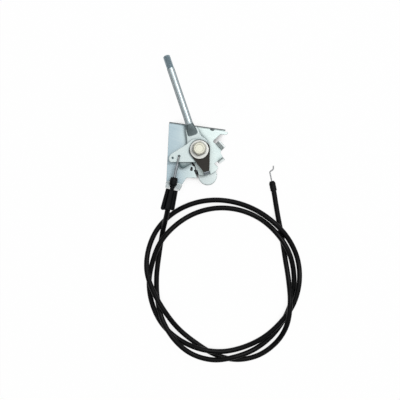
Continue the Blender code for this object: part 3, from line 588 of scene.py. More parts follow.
@dataclass(frozen=True)
class MetalFinish:
    """A metal surface: patches of two tones, drawn marks, and edges of a third tone. Upright sides can have a
    tone of their own, for sheared edges with painted shade, and on the brake a painted reflection; rims and
    corners beside a neighbour can have painted shade, and a tint of painted shade can fade in."""

    name: str
    slot: Slot
    colour: Colour
    patch: Colour
    edge: Colour
    metallic: float = 1.0
    roughness: float = 0.35
    specular: float = 0.5
    patch_scale: float = 70.0
    patch_contrast: float = 2.2
    marks_scale: float = 900.0
    marks_stretch: float = 0.05
    marks_angle: float = 0.3
    marks_height: float = 0.00002
    marks_share: float = 0.12
    marks_rough: float = 0.16
    edge_radius: float = 0.0005
    edge_share: float = 0.2
    # A tone for upright faces between two heights: sheared edges with painted shade, and on the brake a
    # painted reflection.
    side: Optional[Colour] = None
    side_from: float = -1.0
    side_to: float = 1.0
    side_facing: Row = (0.75, 0.25)
    # A tone of painted shade that fades in along a direction, between two places.
    painted_shade_tint: Optional[Colour] = None
    painted_shade_along: Row = (1.0, 0.0)
    painted_shade_from: float = 0.012
    painted_shade_to: float = -0.022
    # A tone of painted shade for places beside a neighbour, found by ambient occlusion within a reach, at a
    # share.
    corner: Optional[Colour] = None
    corner_shade_reach: float = 0.006
    corner_shade_share: float = 0.85
    # A tone of painted shade for a thin band along the edges, at a share and a reach.
    rim: Optional[Colour] = None
    rim_shade_share: float = 0.7
    rim_shade_reach: float = 0.0007

    def build(self) -> bpy.types.Material:
        """The material: colour and roughness from patches, marks and edges, painted shade on sides, rims and
        corners where given, and a bump from marks.
        """
        made, graph = new_material(self.name)
        patches = graph.effect("Soft patches", Scale=self.patch_scale, Contrast=self.patch_contrast)
        marks = graph.effect(
            "Drawn marks", Scale=self.marks_scale, Stretch=self.marks_stretch, Angle=self.marks_angle
        )
        edges = graph.effect("Worn edges and rim shade", Radius=self.edge_radius)
        colour = graph.mixed(patches, self.colour, self.patch)
        # Painted shade: a tint that fades in along a direction, its edge wandering with the patches.
        if self.painted_shade_tint is not None:
            reach = graph.vector("DOT_PRODUCT", graph.place(), (*self.painted_shade_along, 0.0))
            wander = graph.math("MULTIPLY_ADD", patches, 0.01, reach)
            colour = graph.mixed(graph.ramp(wander, self.painted_shade_from, self.painted_shade_to), colour, self.painted_shade_tint)
        colour = graph.laid(colour, graph.ramp(marks, 0.35, 0.75), self.marks_share, self.edge)
        colour = graph.laid(colour, edges, self.edge_share, self.edge)
        # Upright faces take the side tone: sheared edges together with painted shade.
        if self.side is not None:
            height = graph.height(graph.place())
            over = graph.math("GREATER_THAN", height, self.side_from)
            within = graph.math("MULTIPLY", over, graph.math("LESS_THAN", height, self.side_to))
            side_mask = graph.effect("Sheared and shaded sides", From=self.side_facing[0], To=self.side_facing[1])
            colour = graph.laid(colour, within, side_mask, self.side)
        # Painted shade: a thin dark band along the edges, for outlines.
        if self.rim is not None:
            close = graph.effect("Worn edges and rim shade", Radius=self.rim_shade_reach, Low=0.005, High=0.1)
            colour = graph.laid(colour, close, self.rim_shade_share, self.rim)
        # Painted shade: a darker tone laid where a neighbour is close.
        if self.corner is not None:
            near = graph.effect("Painted corner shade", Distance=self.corner_shade_reach)
            colour = graph.laid(colour, near, self.corner_shade_share, self.corner)
        rough = graph.math("MULTIPLY_ADD", marks, self.marks_rough, self.roughness - self.marks_rough / 2)
        rough = graph.math("MULTIPLY_ADD", patches, 0.08, graph.math("SUBTRACT", rough, 0.04))
        graph.shade((marks, 0.35, self.marks_height), {
            "Base Color": colour, "Metallic": self.metallic, "Roughness": rough,
            "Specular IOR Level": self.specular,
        })
        return made


@dataclass(frozen=True)
class PolymerFinish:
    """A moulded or extruded plastic: near-black with paler scuffs, a fine grain, and soft edges."""

    name: str
    slot: Slot
    colour: Colour
    scuff: Colour
    roughness: float
    specular: float
    streaks: bool = False

    def build(self) -> bpy.types.Material:
        """The material, with lengthwise streaks from the UV map where it is extruded."""
        made, graph = new_material(self.name)
        patches = graph.effect("Soft patches", Scale=90.0, Contrast=3.0)
        if self.streaks:
            place = graph.add("ShaderNodeUVMap", uv_map="UVMap").outputs[0]
            place = graph.add("ShaderNodeMapping", {0: place, 3: (26.0, 9.0, 1.0)}).outputs[0]
            grain = graph.noise(place, 1.0, 3.0)
        else:
            grain = graph.noise(graph.place(), 1600.0, 2.0)
        edges = graph.math("MULTIPLY", graph.effect("Worn edges and rim shade", Radius=0.0005), 0.5)
        worn = graph.math("MULTIPLY", graph.ramp(patches, 0.45, 0.95), graph.ramp(grain, 0.45, 0.75))
        worn = graph.math("MAXIMUM", graph.math("MULTIPLY", worn, 0.55), edges)
        rough = graph.math("MULTIPLY_ADD", grain, 0.18, self.roughness - 0.09)
        rough = graph.math("MULTIPLY_ADD", patches, 0.1, rough)
        graph.shade((grain, 0.4, 0.00003), {
            "Base Color": graph.mixed(worn, self.colour, self.scuff), "Roughness": rough,
            "Specular IOR Level": self.specular,
        })
        return made


@dataclass(frozen=True)
class FibreFinish:
    """Pressed friction fibre: short pale and dark fibres in a brown binder."""

    name: str
    slot: Slot
    colour: Colour
    fibre: Colour

    def build(self) -> bpy.types.Material:
        """The material: cells for the fibres' ends and noise for the binder."""
        made, graph = new_material(self.name)
        inputs = {"Vector": graph.place(), "Scale": 2200.0}
        cells = graph.add("ShaderNodeTexVoronoi", inputs).outputs["Distance"]
        patches = graph.effect("Soft patches", Scale=400.0, Contrast=2.5)
        share = graph.math("MULTIPLY", graph.ramp(cells, 0.35, 0.05), patches)
        graph.shade((cells, 0.5, 0.00008), {
            "Base Color": graph.mixed(share, self.colour, self.fibre),
            "Roughness": graph.math("MULTIPLY_ADD", patches, 0.12, 0.8),
        })
        return made

# A dark tone for sheared edges, also used as painted shade on bends, rims and shaded faces.
SHEARED_EDGE_AND_SHADE = (0.10, 0.12, 0.125)
# A dark teal tone of painted shade, for places beside a neighbour.
CORNER_SHADE = (0.10, 0.15, 0.16)


class Finish(Enum):
    """Every finish on the object."""

    # Painted shade: a darker, bluer tone fades in towards the left; upright faces from 13.4 to 16.8 mm high,
    # the flange's bend and the sheared edges, are dark; rims and places beside neighbours are darkened too.
    PLATE = MetalFinish(
        "Bright zinc sheet", Slot.ZINC, (0.78, 0.89, 0.87), (0.70, 0.82, 0.81), (0.92, 0.95, 0.94),
        metallic=0.6, roughness=0.42, side=SHEARED_EDGE_AND_SHADE, side_from=0.0134, side_to=0.0168,
        side_facing=(0.92, 0.62), corner=CORNER_SHADE, painted_shade_tint=(0.46, 0.59, 0.65), edge_radius=0.0003, rim=SHEARED_EDGE_AND_SHADE,
    )
    # Painted highlight: a pale zinc for the cable tab and the side tabs' end strips, which catch the light.
    TAB = MetalFinish(
        "Zinc with painted highlight", Slot.ZINC, (0.92, 0.97, 0.96), (0.86, 0.94, 0.94), (0.95, 0.97, 0.97),
        metallic=0.2, roughness=0.5, edge_radius=0.0003, rim=SHEARED_EDGE_AND_SHADE, rim_shade_share=0.8,
    )
    # Painted shade: a dark zinc for the gusset dent and the side tabs' inner faces, where shade falls.
    PRESSED = MetalFinish(
        "Zinc with painted shade", Slot.ZINC, SHEARED_EDGE_AND_SHADE, (0.14, 0.165, 0.17), (0.5, 0.55, 0.56),
        metallic=0.6, roughness=0.45,
    )
    # Painted shade: dark upright sides and rims, and a dark tone along the edges where the crank overhangs
    # its neighbours.
    CRANK = MetalFinish(
        "Bright zinc crank", Slot.ZINC, (0.73, 0.82, 0.81), (0.64, 0.75, 0.75), (0.9, 0.94, 0.93),
        metallic=0.6, roughness=0.4, side=SHEARED_EDGE_AND_SHADE, marks_angle=1.2, edge_radius=0.0003, corner=CORNER_SHADE,
        corner_shade_reach=0.003, rim=SHEARED_EDGE_AND_SHADE,
    )
    # Painted shade: the lobe below y = -24 mm is tinted dark as in the crank's shadow; upright sides and
    # places beside neighbours are darkened too.
    BLADE = MetalFinish(
        "Zinc blade with painted lobe shade", Slot.ZINC, (0.66, 0.74, 0.74), (0.48, 0.58, 0.58), (0.85, 0.9, 0.9),
        metallic=0.75, roughness=0.38, side=SHEARED_EDGE_AND_SHADE, marks_angle=0.8, marks_scale=500.0,
        marks_stretch=0.12, edge_radius=0.0003, corner=CORNER_SHADE, corner_shade_share=0.5,
        painted_shade_tint=(0.10, 0.155, 0.16), painted_shade_along=(0.0, 1.0), painted_shade_from=-0.024, painted_shade_to=-0.031,
    )
    # Painted shade: the rod's flanks, which face sideways, take a dark tone for the dark rim of the sky in
    # reflection.
    ROD = MetalFinish(
        "Bright zinc rod", Slot.ZINC, (0.60, 0.68, 0.70), (0.52, 0.61, 0.64), (0.82, 0.88, 0.9),
        metallic=0.7, roughness=0.4, marks_angle=-1.23, marks_stretch=0.02, marks_height=0.0,
        marks_share=0.03, marks_rough=0.02, side=(0.13, 0.165, 0.18), side_facing=(0.72, 0.4),
        edge_share=0.0,
    )
    # Painted reflection: a dark copy of the rod's zinc for the swaged faces, which slope down into the blade
    # and face the dark sky.
    SWAGE = MetalFinish(
        "Swaged zinc with painted dark reflection", Slot.ZINC, (0.10, 0.135, 0.14), (0.20, 0.25, 0.26), (0.42, 0.48, 0.5),
        metallic=0.7, roughness=0.36, marks_angle=-1.23, marks_stretch=0.02, patch_scale=160.0,
        side=SHEARED_EDGE_AND_SHADE, edge_share=0.5,
    )
    THREAD = MetalFinish(
        "Dull thread", Slot.ZINC, (0.34, 0.44, 0.49), (0.26, 0.345, 0.385), (0.55, 0.64, 0.68),
        metallic=0.6, roughness=0.45, marks_angle=-1.23, edge_share=0.3, edge_radius=0.0002,
    )
    # Painted shade: a darker tone beside neighbours.
    FOOT = MetalFinish(
        "Dull zinc foot", Slot.ZINC, (0.82, 0.91, 0.90), (0.76, 0.86, 0.86), (0.9, 0.94, 0.93),
        metallic=0.3, roughness=0.5, corner=CORNER_SHADE, corner_shade_reach=0.003, corner_shade_share=0.4,
    )
    # Painted shade: the bolt's upright faces, the hexagon's flats, take a near-black tone, and a dark tone
    # lies where the head meets the washer.
    HARDWARE = MetalFinish(
        "Pale passivated bolt", Slot.PASSIVATED, (0.86, 0.85, 0.70), (0.80, 0.80, 0.68),
        (0.95, 0.95, 0.88), metallic=0.6, roughness=0.4, marks_stretch=1.0, marks_scale=1500.0,
        side=(0.10, 0.10, 0.085), side_facing=(0.92, 0.72), corner=(0.06, 0.06, 0.05), corner_shade_reach=0.002,
    )
    # Painted shade: a dark ring beside the bolt head, and darker upright sides.
    WASHER = MetalFinish(
        "Pale passivated washer", Slot.PASSIVATED, (0.88, 0.89, 0.84), (0.80, 0.82, 0.78),
        (0.95, 0.95, 0.91), metallic=0.4, roughness=0.42, marks_stretch=1.0, marks_scale=1200.0,
        side=SHEARED_EDGE_AND_SHADE, corner=(0.10, 0.10, 0.08), corner_shade_reach=0.002, corner_shade_share=0.6,
    )
    WIRE = MetalFinish(
        "Drawn steel wire", Slot.STEEL, (0.42, 0.43, 0.44), (0.34, 0.35, 0.36), (0.7, 0.7, 0.7),
        roughness=0.36, edge_share=0.1,
    )
    TUBE = MetalFinish(
        "Grey steel tube", Slot.STEEL, (0.34, 0.38, 0.41), (0.28, 0.32, 0.35), (0.6, 0.62, 0.64),
        metallic=0.8, roughness=0.42, marks_angle=1.36, edge_share=0.1,
    )
    # Painted reflection: upright faces below 25.35 mm, the bent-down hook among them, take a lighter grey.
    BRAKE = MetalFinish(
        "Dark phosphate", Slot.PHOSPHATE, (0.022, 0.020, 0.015), (0.036, 0.033, 0.026),
        (0.12, 0.115, 0.10), metallic=0.2, roughness=0.6, patch_scale=220.0, marks_scale=1400.0,
        marks_stretch=0.6, specular=0.35, edge_share=0.35, side=(0.22, 0.25, 0.25), side_to=0.02535,
    )
    SPRING = MetalFinish(
        "Oiled spring steel", Slot.SPRING, (0.20, 0.20, 0.21), (0.13, 0.13, 0.14), (0.4, 0.4, 0.4),
        roughness=0.38, edge_share=0.5,
    )
    BRONZE = MetalFinish(
        "Sintered bronze", Slot.BRONZE, (0.52, 0.35, 0.17), (0.42, 0.28, 0.14), (0.7, 0.5, 0.28),
        roughness=0.5, edge_share=0.5,
    )
    FIBRE = FibreFinish("Friction fibre", Slot.FIBRE, (0.14, 0.095, 0.06), (0.42, 0.34, 0.24))
    NYLON = PolymerFinish(
        "Black nylon", Slot.NYLON, (0.003, 0.0035, 0.004), (0.03, 0.032, 0.034), 0.42, 0.13
    )
    JACKET = PolymerFinish(
        "Black cable jacket", Slot.JACKET, (0.002, 0.002, 0.0025), (0.016, 0.016, 0.018), 0.36, 0.13,
        streaks=True,
    )

    def material(self) -> bpy.types.Material:
        """The finish's material, built the first time that it is asked for."""
        return bpy.data.materials.get(self.value.name) or self.value.build()

    def dress(self, obj: Piece, body: Body, node: str = "") -> None:
        """Gives a piece this finish, a body to ride on and the CAD node that it replaces.

        Args:
            obj: The piece.
            body: The body that it moves with.
            node: The node, where it replaces one.
        """
        if node:
            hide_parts(node)
        obj.data.materials.clear()
        obj.data.materials.append(self.material())
        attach(obj, body.value)
        LOG.info("%s: %s, rides on %s", obj.name, self.value.name, body.value)


def split_finish(
    obj: Piece, way: Row, start: float, second: Finish, past: bool = True,
    near: Optional[tuple[Row, float]] = None,
) -> None:
    """Gives a second finish to the faces whose middles lie past a place along a direction.

    Args:
        obj: A piece that is dressed already.
        way: The direction, of length 1.
        start: The place along it, in metres.
        second: The finish for those faces.
        past: Whether they lie past the place, or before it.
        near: A point in millimetres from the pivot and the reach round it, in plan.
    """
    faces = obj.data.polygons
    middles = np.zeros(3 * len(faces))
    faces.foreach_get("center", middles)
    middles = middles.reshape(-1, 3)
    along = middles @ np.array(way)
    chosen = along > start if past else along < start
    if near is not None:
        centre = from_pivot((*near[0], 0.0))[:2]
        chosen &= np.linalg.norm(middles[:, :2] - centre, axis=1) < near[1] * MM
    index = np.zeros(len(faces), np.int32)
    faces.foreach_get("material_index", index)
    obj.data.materials.append(second.material())
    index[chosen] = len(obj.data.materials) - 1
    faces.foreach_set("material_index", index)


@dataclass(frozen=True)
class Studio:
    """The camera straight above, a pale floor, a sky that darkens towards its rim, and a lamp."""

    camera_height: float = 0.9
    frame_width: float = 0.4305
    camera_shift: Row = (0.63, -53.55)
    pivot_floor: Row = (0.003, -0.012, 0.0)
    # A point under the slit, round which a painted shadow darkens the floor.
    painted_shadow_point: Row = (-0.0015, -0.0365, 0.0)
    floor_size: float = 40.0
    floor_height: float = -0.00005
    floor_shade: Colour = (0.02, 0.025, 0.027)
    floor_open: Colour = (0.88, 0.88, 0.88)
    lamp_aim: Row = (0.0, -0.07, 0.0)
    zenith: float = 0.88
    rim: float = 0.12

    def camera(self) -> None:
        """A camera that sees the photograph's frame from the photograph's height."""
        lens = bpy.data.cameras.new("Camera")
        lens.lens = lens.sensor_width * self.camera_height / self.frame_width
        obj = linked("Camera", lens)
        obj.location = (*from_pivot((*self.camera_shift, 0.0))[:2], self.camera_height)
        bpy.context.scene.camera = obj

    def floor(self) -> None:
        """A pale floor, seen as white by the camera and in gloss, which keeps part of the shadow, deepest
        under the bracket. Its colour is painted darker where ambient occlusion is deep, and a painted shadow
        is added round a point under the slit."""
        half = self.floor_size / 2
        mesh = bpy.data.meshes.new("Floor")
        corners = ((-half, -half), (half, -half), (half, half), (-half, half))
        mesh.from_pydata([(*corner, self.floor_height) for corner in corners], [], [(0, 1, 2, 3)])
        made, graph = new_material("Pale floor")
        path = graph.add("ShaderNodeLightPath")
        seen = graph.math("MAXIMUM", path.outputs["Is Camera Ray"], path.outputs["Is Glossy Ray"])
        seen = graph.math("MAXIMUM", seen, path.outputs["Is Transmission Ray"])
        occlusion_and_painted_shadow = graph.add("ShaderNodeAmbientOcclusion", {"Distance": 0.03}, samples=12).outputs["AO"]
        place = graph.place()
        # Painted shadow: the occlusion is lowered round a point under the slit, which darkens the floor
        # there.
        from_painted_shadow = graph.vector("DISTANCE", place, self.painted_shadow_point)
        occlusion_and_painted_shadow = graph.math("SUBTRACT", occlusion_and_painted_shadow, graph.ramp(from_painted_shadow, 0.007, 0.014, (0.16, 0.0)))
        off = graph.vector("DISTANCE", place, self.pivot_floor)
        clear = graph.ramp(off, 0.048, 0.06, (0.0, 0.88))
        share = graph.math("MAXIMUM", clear, graph.ramp(occlusion_and_painted_shadow, 0.24, 0.48, (0.0, 0.98)))
        share = graph.math("MULTIPLY", seen, share)
        # Painted shade: the floor's own colour turns dark where the occlusion is deep.
        tone = graph.mixed(graph.ramp(occlusion_and_painted_shadow, 0.25, 0.6), self.floor_shade, self.floor_open)
        matt = graph.add("ShaderNodeBsdfDiffuse", {0: tone})
        glow = graph.add("ShaderNodeEmission", {0: (1.0, 1.0, 1.0, 1.0), 1: 1.0})
        both = graph.add("ShaderNodeMixShader", {0: share, 1: matt.outputs[0], 2: glow.outputs[0]})
        graph.add("ShaderNodeOutputMaterial", {0: both.outputs[0]})
        mesh.materials.append(made)
        linked("Floor", mesh)

    def sky(self) -> None:
        """A sky that is bright overhead and to the north, and dark towards its rim."""
        world = bpy.data.worlds.new("Studio sky")
        world.use_nodes = True
        bpy.context.scene.world = world
        graph = Graph(world.node_tree)
        look = graph.add("ShaderNodeTexCoord").outputs["Generated"]
        parts = graph.add("ShaderNodeSeparateXYZ", {0: look}).outputs
        lean = graph.math("MULTIPLY_ADD", parts[0], 0.08, parts[2])
        lean = graph.math("MULTIPLY_ADD", parts[1], 0.2, lean)
        level = graph.ramp(lean, 0.36, 0.95, (self.rim, self.zenith))
        backdrop = graph.add("ShaderNodeBackground", {0: (1.0, 1.0, 1.0, 1.0), 1: level})
        graph.add("ShaderNodeOutputWorld", {0: backdrop.outputs[0]})

    def lamp(self, name: str, place: Row, size: float, power: float) -> None:
        """A square lamp that faces a point near the object's middle."""
        data = bpy.data.lights.new(name, "AREA")
        data.size, data.energy = size, power
        obj = linked(name, data)
        obj.location = place
        look = np.array(self.lamp_aim) - np.array(place)
        tilt = math.atan2(math.hypot(look[0], look[1]), -look[2])
        obj.rotation_euler = (tilt, 0.0, math.atan2(look[1], look[0]) - math.pi / 2)

    def build(self) -> None:
        """Sets the stage."""
        bpy.context.scene.view_settings.view_transform = "Standard"
        self.camera()
        self.floor()
        self.sky()
        self.lamp("Key lamp", (0.5, 0.34, 1.15), 0.3, 5.0)


@dataclass(frozen=True)
class ThrottleCable:
    """The conduit in its loose loops, the ferrule at its far end and the wire that it guides."""

    radius: float = 2.75
    straight_to: Row = (39.6, 45.5, 52.0)
    spacing: float = 2.4
    ferrule_radius: float = 3.45
    ferrule_grip: float = 6.0
    ferrule_front: float = 4.7
    wire_radius: float = 0.75
    route: tuple[Row, ...] = (
        (-34.4, -68.7, 18.7), (-39.4, -88.0, 5.0), (-43.2, -111.5, 3.0), (-45.9, -135.4, 3.0),
        (-44.9, -159.3, 4.8), (-38.9, -182.1, 9.2), (-26.3, -202.4, 10.6), (-8.1, -217.7, 8.2),
        (14.9, -223.9, 8.9), (38.4, -220.6, 8.8), (60.4, -212.7, 3.4), (79.0, -197.6, 3.0),
        (92.5, -177.7, 3.0), (100.2, -155.0, 3.0), (101.0, -131.1, 3.9), (95.0, -108.5, 9.1),
        (82.1, -88.7, 7.7), (64.4, -73.3, 3.2), (42.2, -64.2, 3.0), (18.3, -62.3, 3.0),
        (-5.0, -68.0, 3.0), (-25.1, -80.3, 7.9), (-40.9, -97.8, 11.6), (-50.0, -119.5, 6.8),
        (-54.0, -142.7, 3.0), (-50.1, -166.3, 3.0), (-39.1, -187.6, 3.0), (-21.1, -203.3, 4.3),
        (0.4, -212.0, 9.8), (23.8, -215.4, 6.8), (46.9, -211.4, 3.1), (68.0, -200.5, 7.1),
        (85.8, -184.6, 9.3), (99.7, -165.1, 9.4), (106.4, -142.1, 8.1), (105.7, -118.8, 3.1),
        (96.4, -97.2, 6.5), (81.3, -79.5, 11.0), (62.2, -65.4, 7.1), (40.3, -56.6, 3.2),
        (16.5, -53.6, 3.0), (-7.1, -57.4, 3.0), (-28.6, -68.1, 3.0), (-45.3, -85.2, 3.0),
        (-54.6, -107.1, 5.4), (-55.7, -130.1, 11.4), (-47.9, -152.7, 12.3), (-35.8, -173.4, 11.8),
        (-21.9, -191.7, 5.0), (-3.5, -207.0, 3.0), (17.1, -219.3, 3.0), (40.4, -224.6, 3.0),
        (63.8, -219.7, 3.0), (82.5, -205.4, 5.5), (92.7, -185.5, 14.6), (96.0, -162.3, 15.4),
        (95.3, -139.7, 6.7), (92.0, -116.3, 3.0), (88.3, -92.5, 3.0), (83.8, -68.8, 3.3),
        (79.9, -45.1, 3.6), (78.5, -37.9, 3.6),
    )

    def line(self) -> np.ndarray:
        """The centreline in millimetres from the pivot: straight in the fitting, then on a cubic
        through the route, p = ½(2b + (c − a)t + (2a − 5b + 4c − d)t² + (3b − a − 3c + d)t³)."""
        start = np.array([*WIRE_HOLE, WIRE_HEIGHT])
        run = np.array([*CABLE_RUN, 0.0])
        straight = start + run * np.array(self.straight_to)[:, None]
        knots = np.concatenate([straight, np.array(self.route)])
        ends = np.concatenate([[2 * knots[0] - knots[1]], knots, [2 * knots[-1] - knots[-2]]])
        a, b, c, d = (ends[k : len(ends) - 3 + k][:, None] for k in range(4))
        t = np.linspace(0.0, 1.0, 12, endpoint=False)[None, :, None]
        bend, twist = 2 * a - 5 * b + 4 * c - d, 3 * b - a - 3 * c + d
        cubic = (2 * b + (c - a) * t + bend * t**2 + twist * t**3) / 2
        curved = cubic[len(straight) - 1 :].reshape(-1, 3)
        points = np.concatenate([straight[:-1], curved, knots[-1:]])
        even = even_line(points, self.spacing)
        even[:, 2] = np.maximum(even[:, 2], self.radius + 0.05)
        return even

    def build(self) -> None:
        line = self.line()
        path = from_pivot(line)
        tube = swept("cable_conduit", path, self.radius, UP, sides=28)
        Finish.JACKET.dress(tube, Body.BASE, "throttle_cable")
        last = line[-1]
        heading = unit((last - line[-2]) * (1.0, 1.0, 0.0))
        inner = self.radius + 0.3
        outer = self.ferrule_radius
        groove = outer - 0.14
        front, grip = self.ferrule_front, self.ferrule_grip
        rows = (
            (1.15, front), (outer - 1.2, front), (outer - 0.35, front - 1.6), (outer, front - 2.4),
            (outer, 0.4), (groove, 0.2), (groove, -0.5), (outer, -0.7), (outer, -3.2), (groove, -3.4),
            (groove, -4.1), (outer, -4.3), (outer, -grip + 0.4), (outer - 0.2, -grip), (inner, -grip),
            (inner, 0.3), (1.15, 0.3),
        )
        cap = turned("far_ferrule_cap", rows, Axis(tuple(last), tuple(heading)), softness=0.12)
        Finish.NYLON.dress(cap, Body.BASE, "far_ferrule")
        side = np.array([-heading[1], heading[0], 0.0])
        bends = ((-9.7, 0.0), (10.3, 0.0), (11.9, -4.2), (15.8, -5.2))
        corners = [last + heading * (front + along) + side * across for along, across in bends]
        wire = swept("far_wire_end", bent_path(corners, 1.3), self.wire_radius, UP)
        Finish.WIRE.dress(wire, Body.CABLE_END, "far_wire")


@dataclass(frozen=True)
class HexForm:
    """A hexagon with one or both faces chamfered: the wall's radius is (s/2)/cos(b), where b runs
    from −30° to 30° across each flat, and it is cut down by (r − f)·tan 30° outside the face."""

    across_flats: float = 13.0
    face_radius: float = 5.4
    turn: float = math.radians(82)
    sides: int = 144

    def wall(self) -> tuple[np.ndarray, np.ndarray]:
        """The angles round the hexagon and the wall's radius at each."""
        angle = self.turn + full_turn(self.sides)
        within = (angle - self.turn) % (math.pi / 3) - math.pi / 6
        return angle, self.across_flats / 2 / np.cos(within)

    def drop(self, radius: np.ndarray) -> np.ndarray:
        """How far the chamfer lies below the face at a radius."""
        return np.maximum(radius - self.face_radius, 0.0) * math.tan(math.radians(30))

    def piece(self, name: str, rows: Sequence[tuple], ring: bool = False) -> Piece:
        """A piece about the pivot.

        Args:
            name: The piece's name.
            rows: Radius and height in millimetres, each one number or a number for each angle.
            ring: Whether the last row is joined to the first.

        Returns:
            The piece.
        """
        angle, wall = self.wall()
        radius, height = (np.stack([np.broadcast_to(row[k], wall.shape) for row in rows]) for k in (0, 1))
        return surface(name, PIVOT_AXIS.around(radius, angle, height), ring, 24.0)


@dataclass(frozen=True)
class PivotStack:
    """What the pivot bolt clamps, from its head down to the lock nut."""

    washer_radius: float = 9.8
    washer_play: Row = (-0.1, -0.85)
    washer_bore: float = 5.0
    head: Row = (28.3, 33.6)
    bolt_end: float = 1.0
    bolt_radius: float = 4.0
    pitch: float = 1.25
    nut: Row = (1.7, 8.2)
    disc_radius: float = 10.5
    bush_radius: float = 6.0
    head_radius: float = 9.7
    tail_angle: float = math.radians(-72.5)
    hook_from: float = 24.6

    def rings(self) -> None:
        """The washers, discs, springs and bush: rings of a bore, an outer radius, a top, a
        thickness and, for the disc springs, a rise from the bore outwards."""
        hole, bush, washer, disc = BOLT_HOLE, self.bush_radius, self.washer_radius, self.disc_radius
        inner, wide, spring = self.washer_bore, bush + 0.3, washer - 1.2
        table = (
            ("large_washer_ring", "large_washer", Finish.WASHER, 0.35, inner, washer, 28.0, 2.0, 0.0),
            ("friction_disc_ring", "friction_disc", Finish.FIBRE, 0.1, wide, disc, 18.3, 1.5, 0.0),
            ("pivot_bush_ring", "pivot_bush", Finish.BRONZE, 0.2, hole, bush, 23.9, 7.1, 0.0),
            ("rear_friction_ring", "rear_friction_disc", Finish.FIBRE, 0.1, hole, disc, 14.2, 1.0, 0.0),
            ("pressure_washer_ring", "pressure_washer", Finish.FOOT, 0.2, hole, washer, 12.9, 1.2, 0.0),
            ("upper_spring_cone", "upper_disc_spring", Finish.SPRING, 0.15, hole, spring, 10.8, 0.7, 0.6),
            ("lower_spring_cone", "lower_disc_spring", Finish.SPRING, 0.15, hole, spring, 9.8, 0.7, -0.6),
        )
        for name, node, finish, softness, bore, outer, top, thick, rise in table:
            play = self.washer_play if node == "large_washer" else (0.0, 0.0)
            rows = ((bore, top), (outer, top + rise), (outer, top + rise - thick), (bore, top - thick))
            ring = turned(name, rows, Axis((*play, 0.0), UP, NORTH), softness)
            finish.dress(ring, Body.BASE, node)

    def bolt(self) -> None:
        """The bolt: a chamfered hexagon on a shank, whose thread fades in over one pitch."""
        form = HexForm()
        angle, wall = form.wall()
        low, high = self.head
        flat, under = form.face_radius, form.across_flats / 2 * 0.93
        rows = [
            (0.0, high - 0.28), (flat * 0.72, high - 0.28), (flat * 0.8, high - 0.04), (flat * 0.95, high),
            (flat, high - 0.02), (wall - 0.1, high - form.drop(wall - 0.1)),
            (wall, high - form.drop(wall) - 0.12), (wall, low + 0.45), (wall - 0.12, low + 0.3),
            (under, low + 0.3), (under, low), (self.bolt_radius, low),
        ]
        smooth_to = self.nut[1] + 6.0
        rows.append((self.bolt_radius, smooth_to))
        for height in np.arange(smooth_to, self.bolt_end + 0.8, -self.pitch / 8):
            fade = min(1.0, (smooth_to - height) / self.pitch)
            rows.append((self.bolt_radius - 0.45 * fade * thread_wave(height, self.pitch, angle), height))
        end = self.bolt_end
        rows += [(self.bolt_radius - 0.6, end + 0.2), (self.bolt_radius - 0.9, end), (0.0, end)]
        Finish.HARDWARE.dress(form.piece("pivot_bolt_head_and_shank", rows), Body.BASE, "pivot_bolt")

    def lock_nut(self) -> None:
        """The nut: the same hexagon chamfered at both ends, round a plain bore."""
        form = HexForm(face_radius=6.1)
        wall = form.wall()[1]
        low, high = self.nut
        bore, face = BOLT_HOLE, form.face_radius
        rows = [
            (bore, low + 0.5), (bore, high - 0.5), (bore + 0.5, high), (face, high),
            (wall, high - form.drop(wall) - 0.1), (wall, low + form.drop(wall) + 0.1), (face, low),
            (bore + 0.5, low),
        ]
        Finish.FOOT.dress(form.piece("lock_nut_hexagon", rows, ring=True), Body.BASE, "lock_nut")

    def brake_plate(self) -> None:
        """The dark plate under the washer, with its hooked tail."""
        sheet = softened_copy("brake_plate", "brake_plate_pressing", 0.3)
        way = (math.cos(self.tail_angle), math.sin(self.tail_angle), 0.0)
        places = vertex_places(sheet)
        out = places[:, :2] - from_pivot((0.0, 0.0, 0.0))[:2]
        radius = np.maximum(np.linalg.norm(out, axis=1), 1e-9)
        toward = out @ np.array(way[:2]) / radius
        share = np.clip((-toward - 0.05) / 0.5, 0.0, 1.0)
        over = np.maximum(radius - self.head_radius * MM, 0.0)
        places[:, :2] -= out * (share * over / radius)[:, None]
        move_vertices(sheet, places)
        Finish.BRAKE.dress(sheet, Body.BASE)
        # Painted reflection: the hook's tip takes the lighter grey steel finish.
        split_finish(sheet, way, place_along((0.0, 0.0), way) + self.hook_from * MM, Finish.TUBE)

    def build(self) -> None:
        """Makes the stack from the head down."""
        self.bolt()
        self.rings()
        self.brake_plate()
        self.lock_nut()


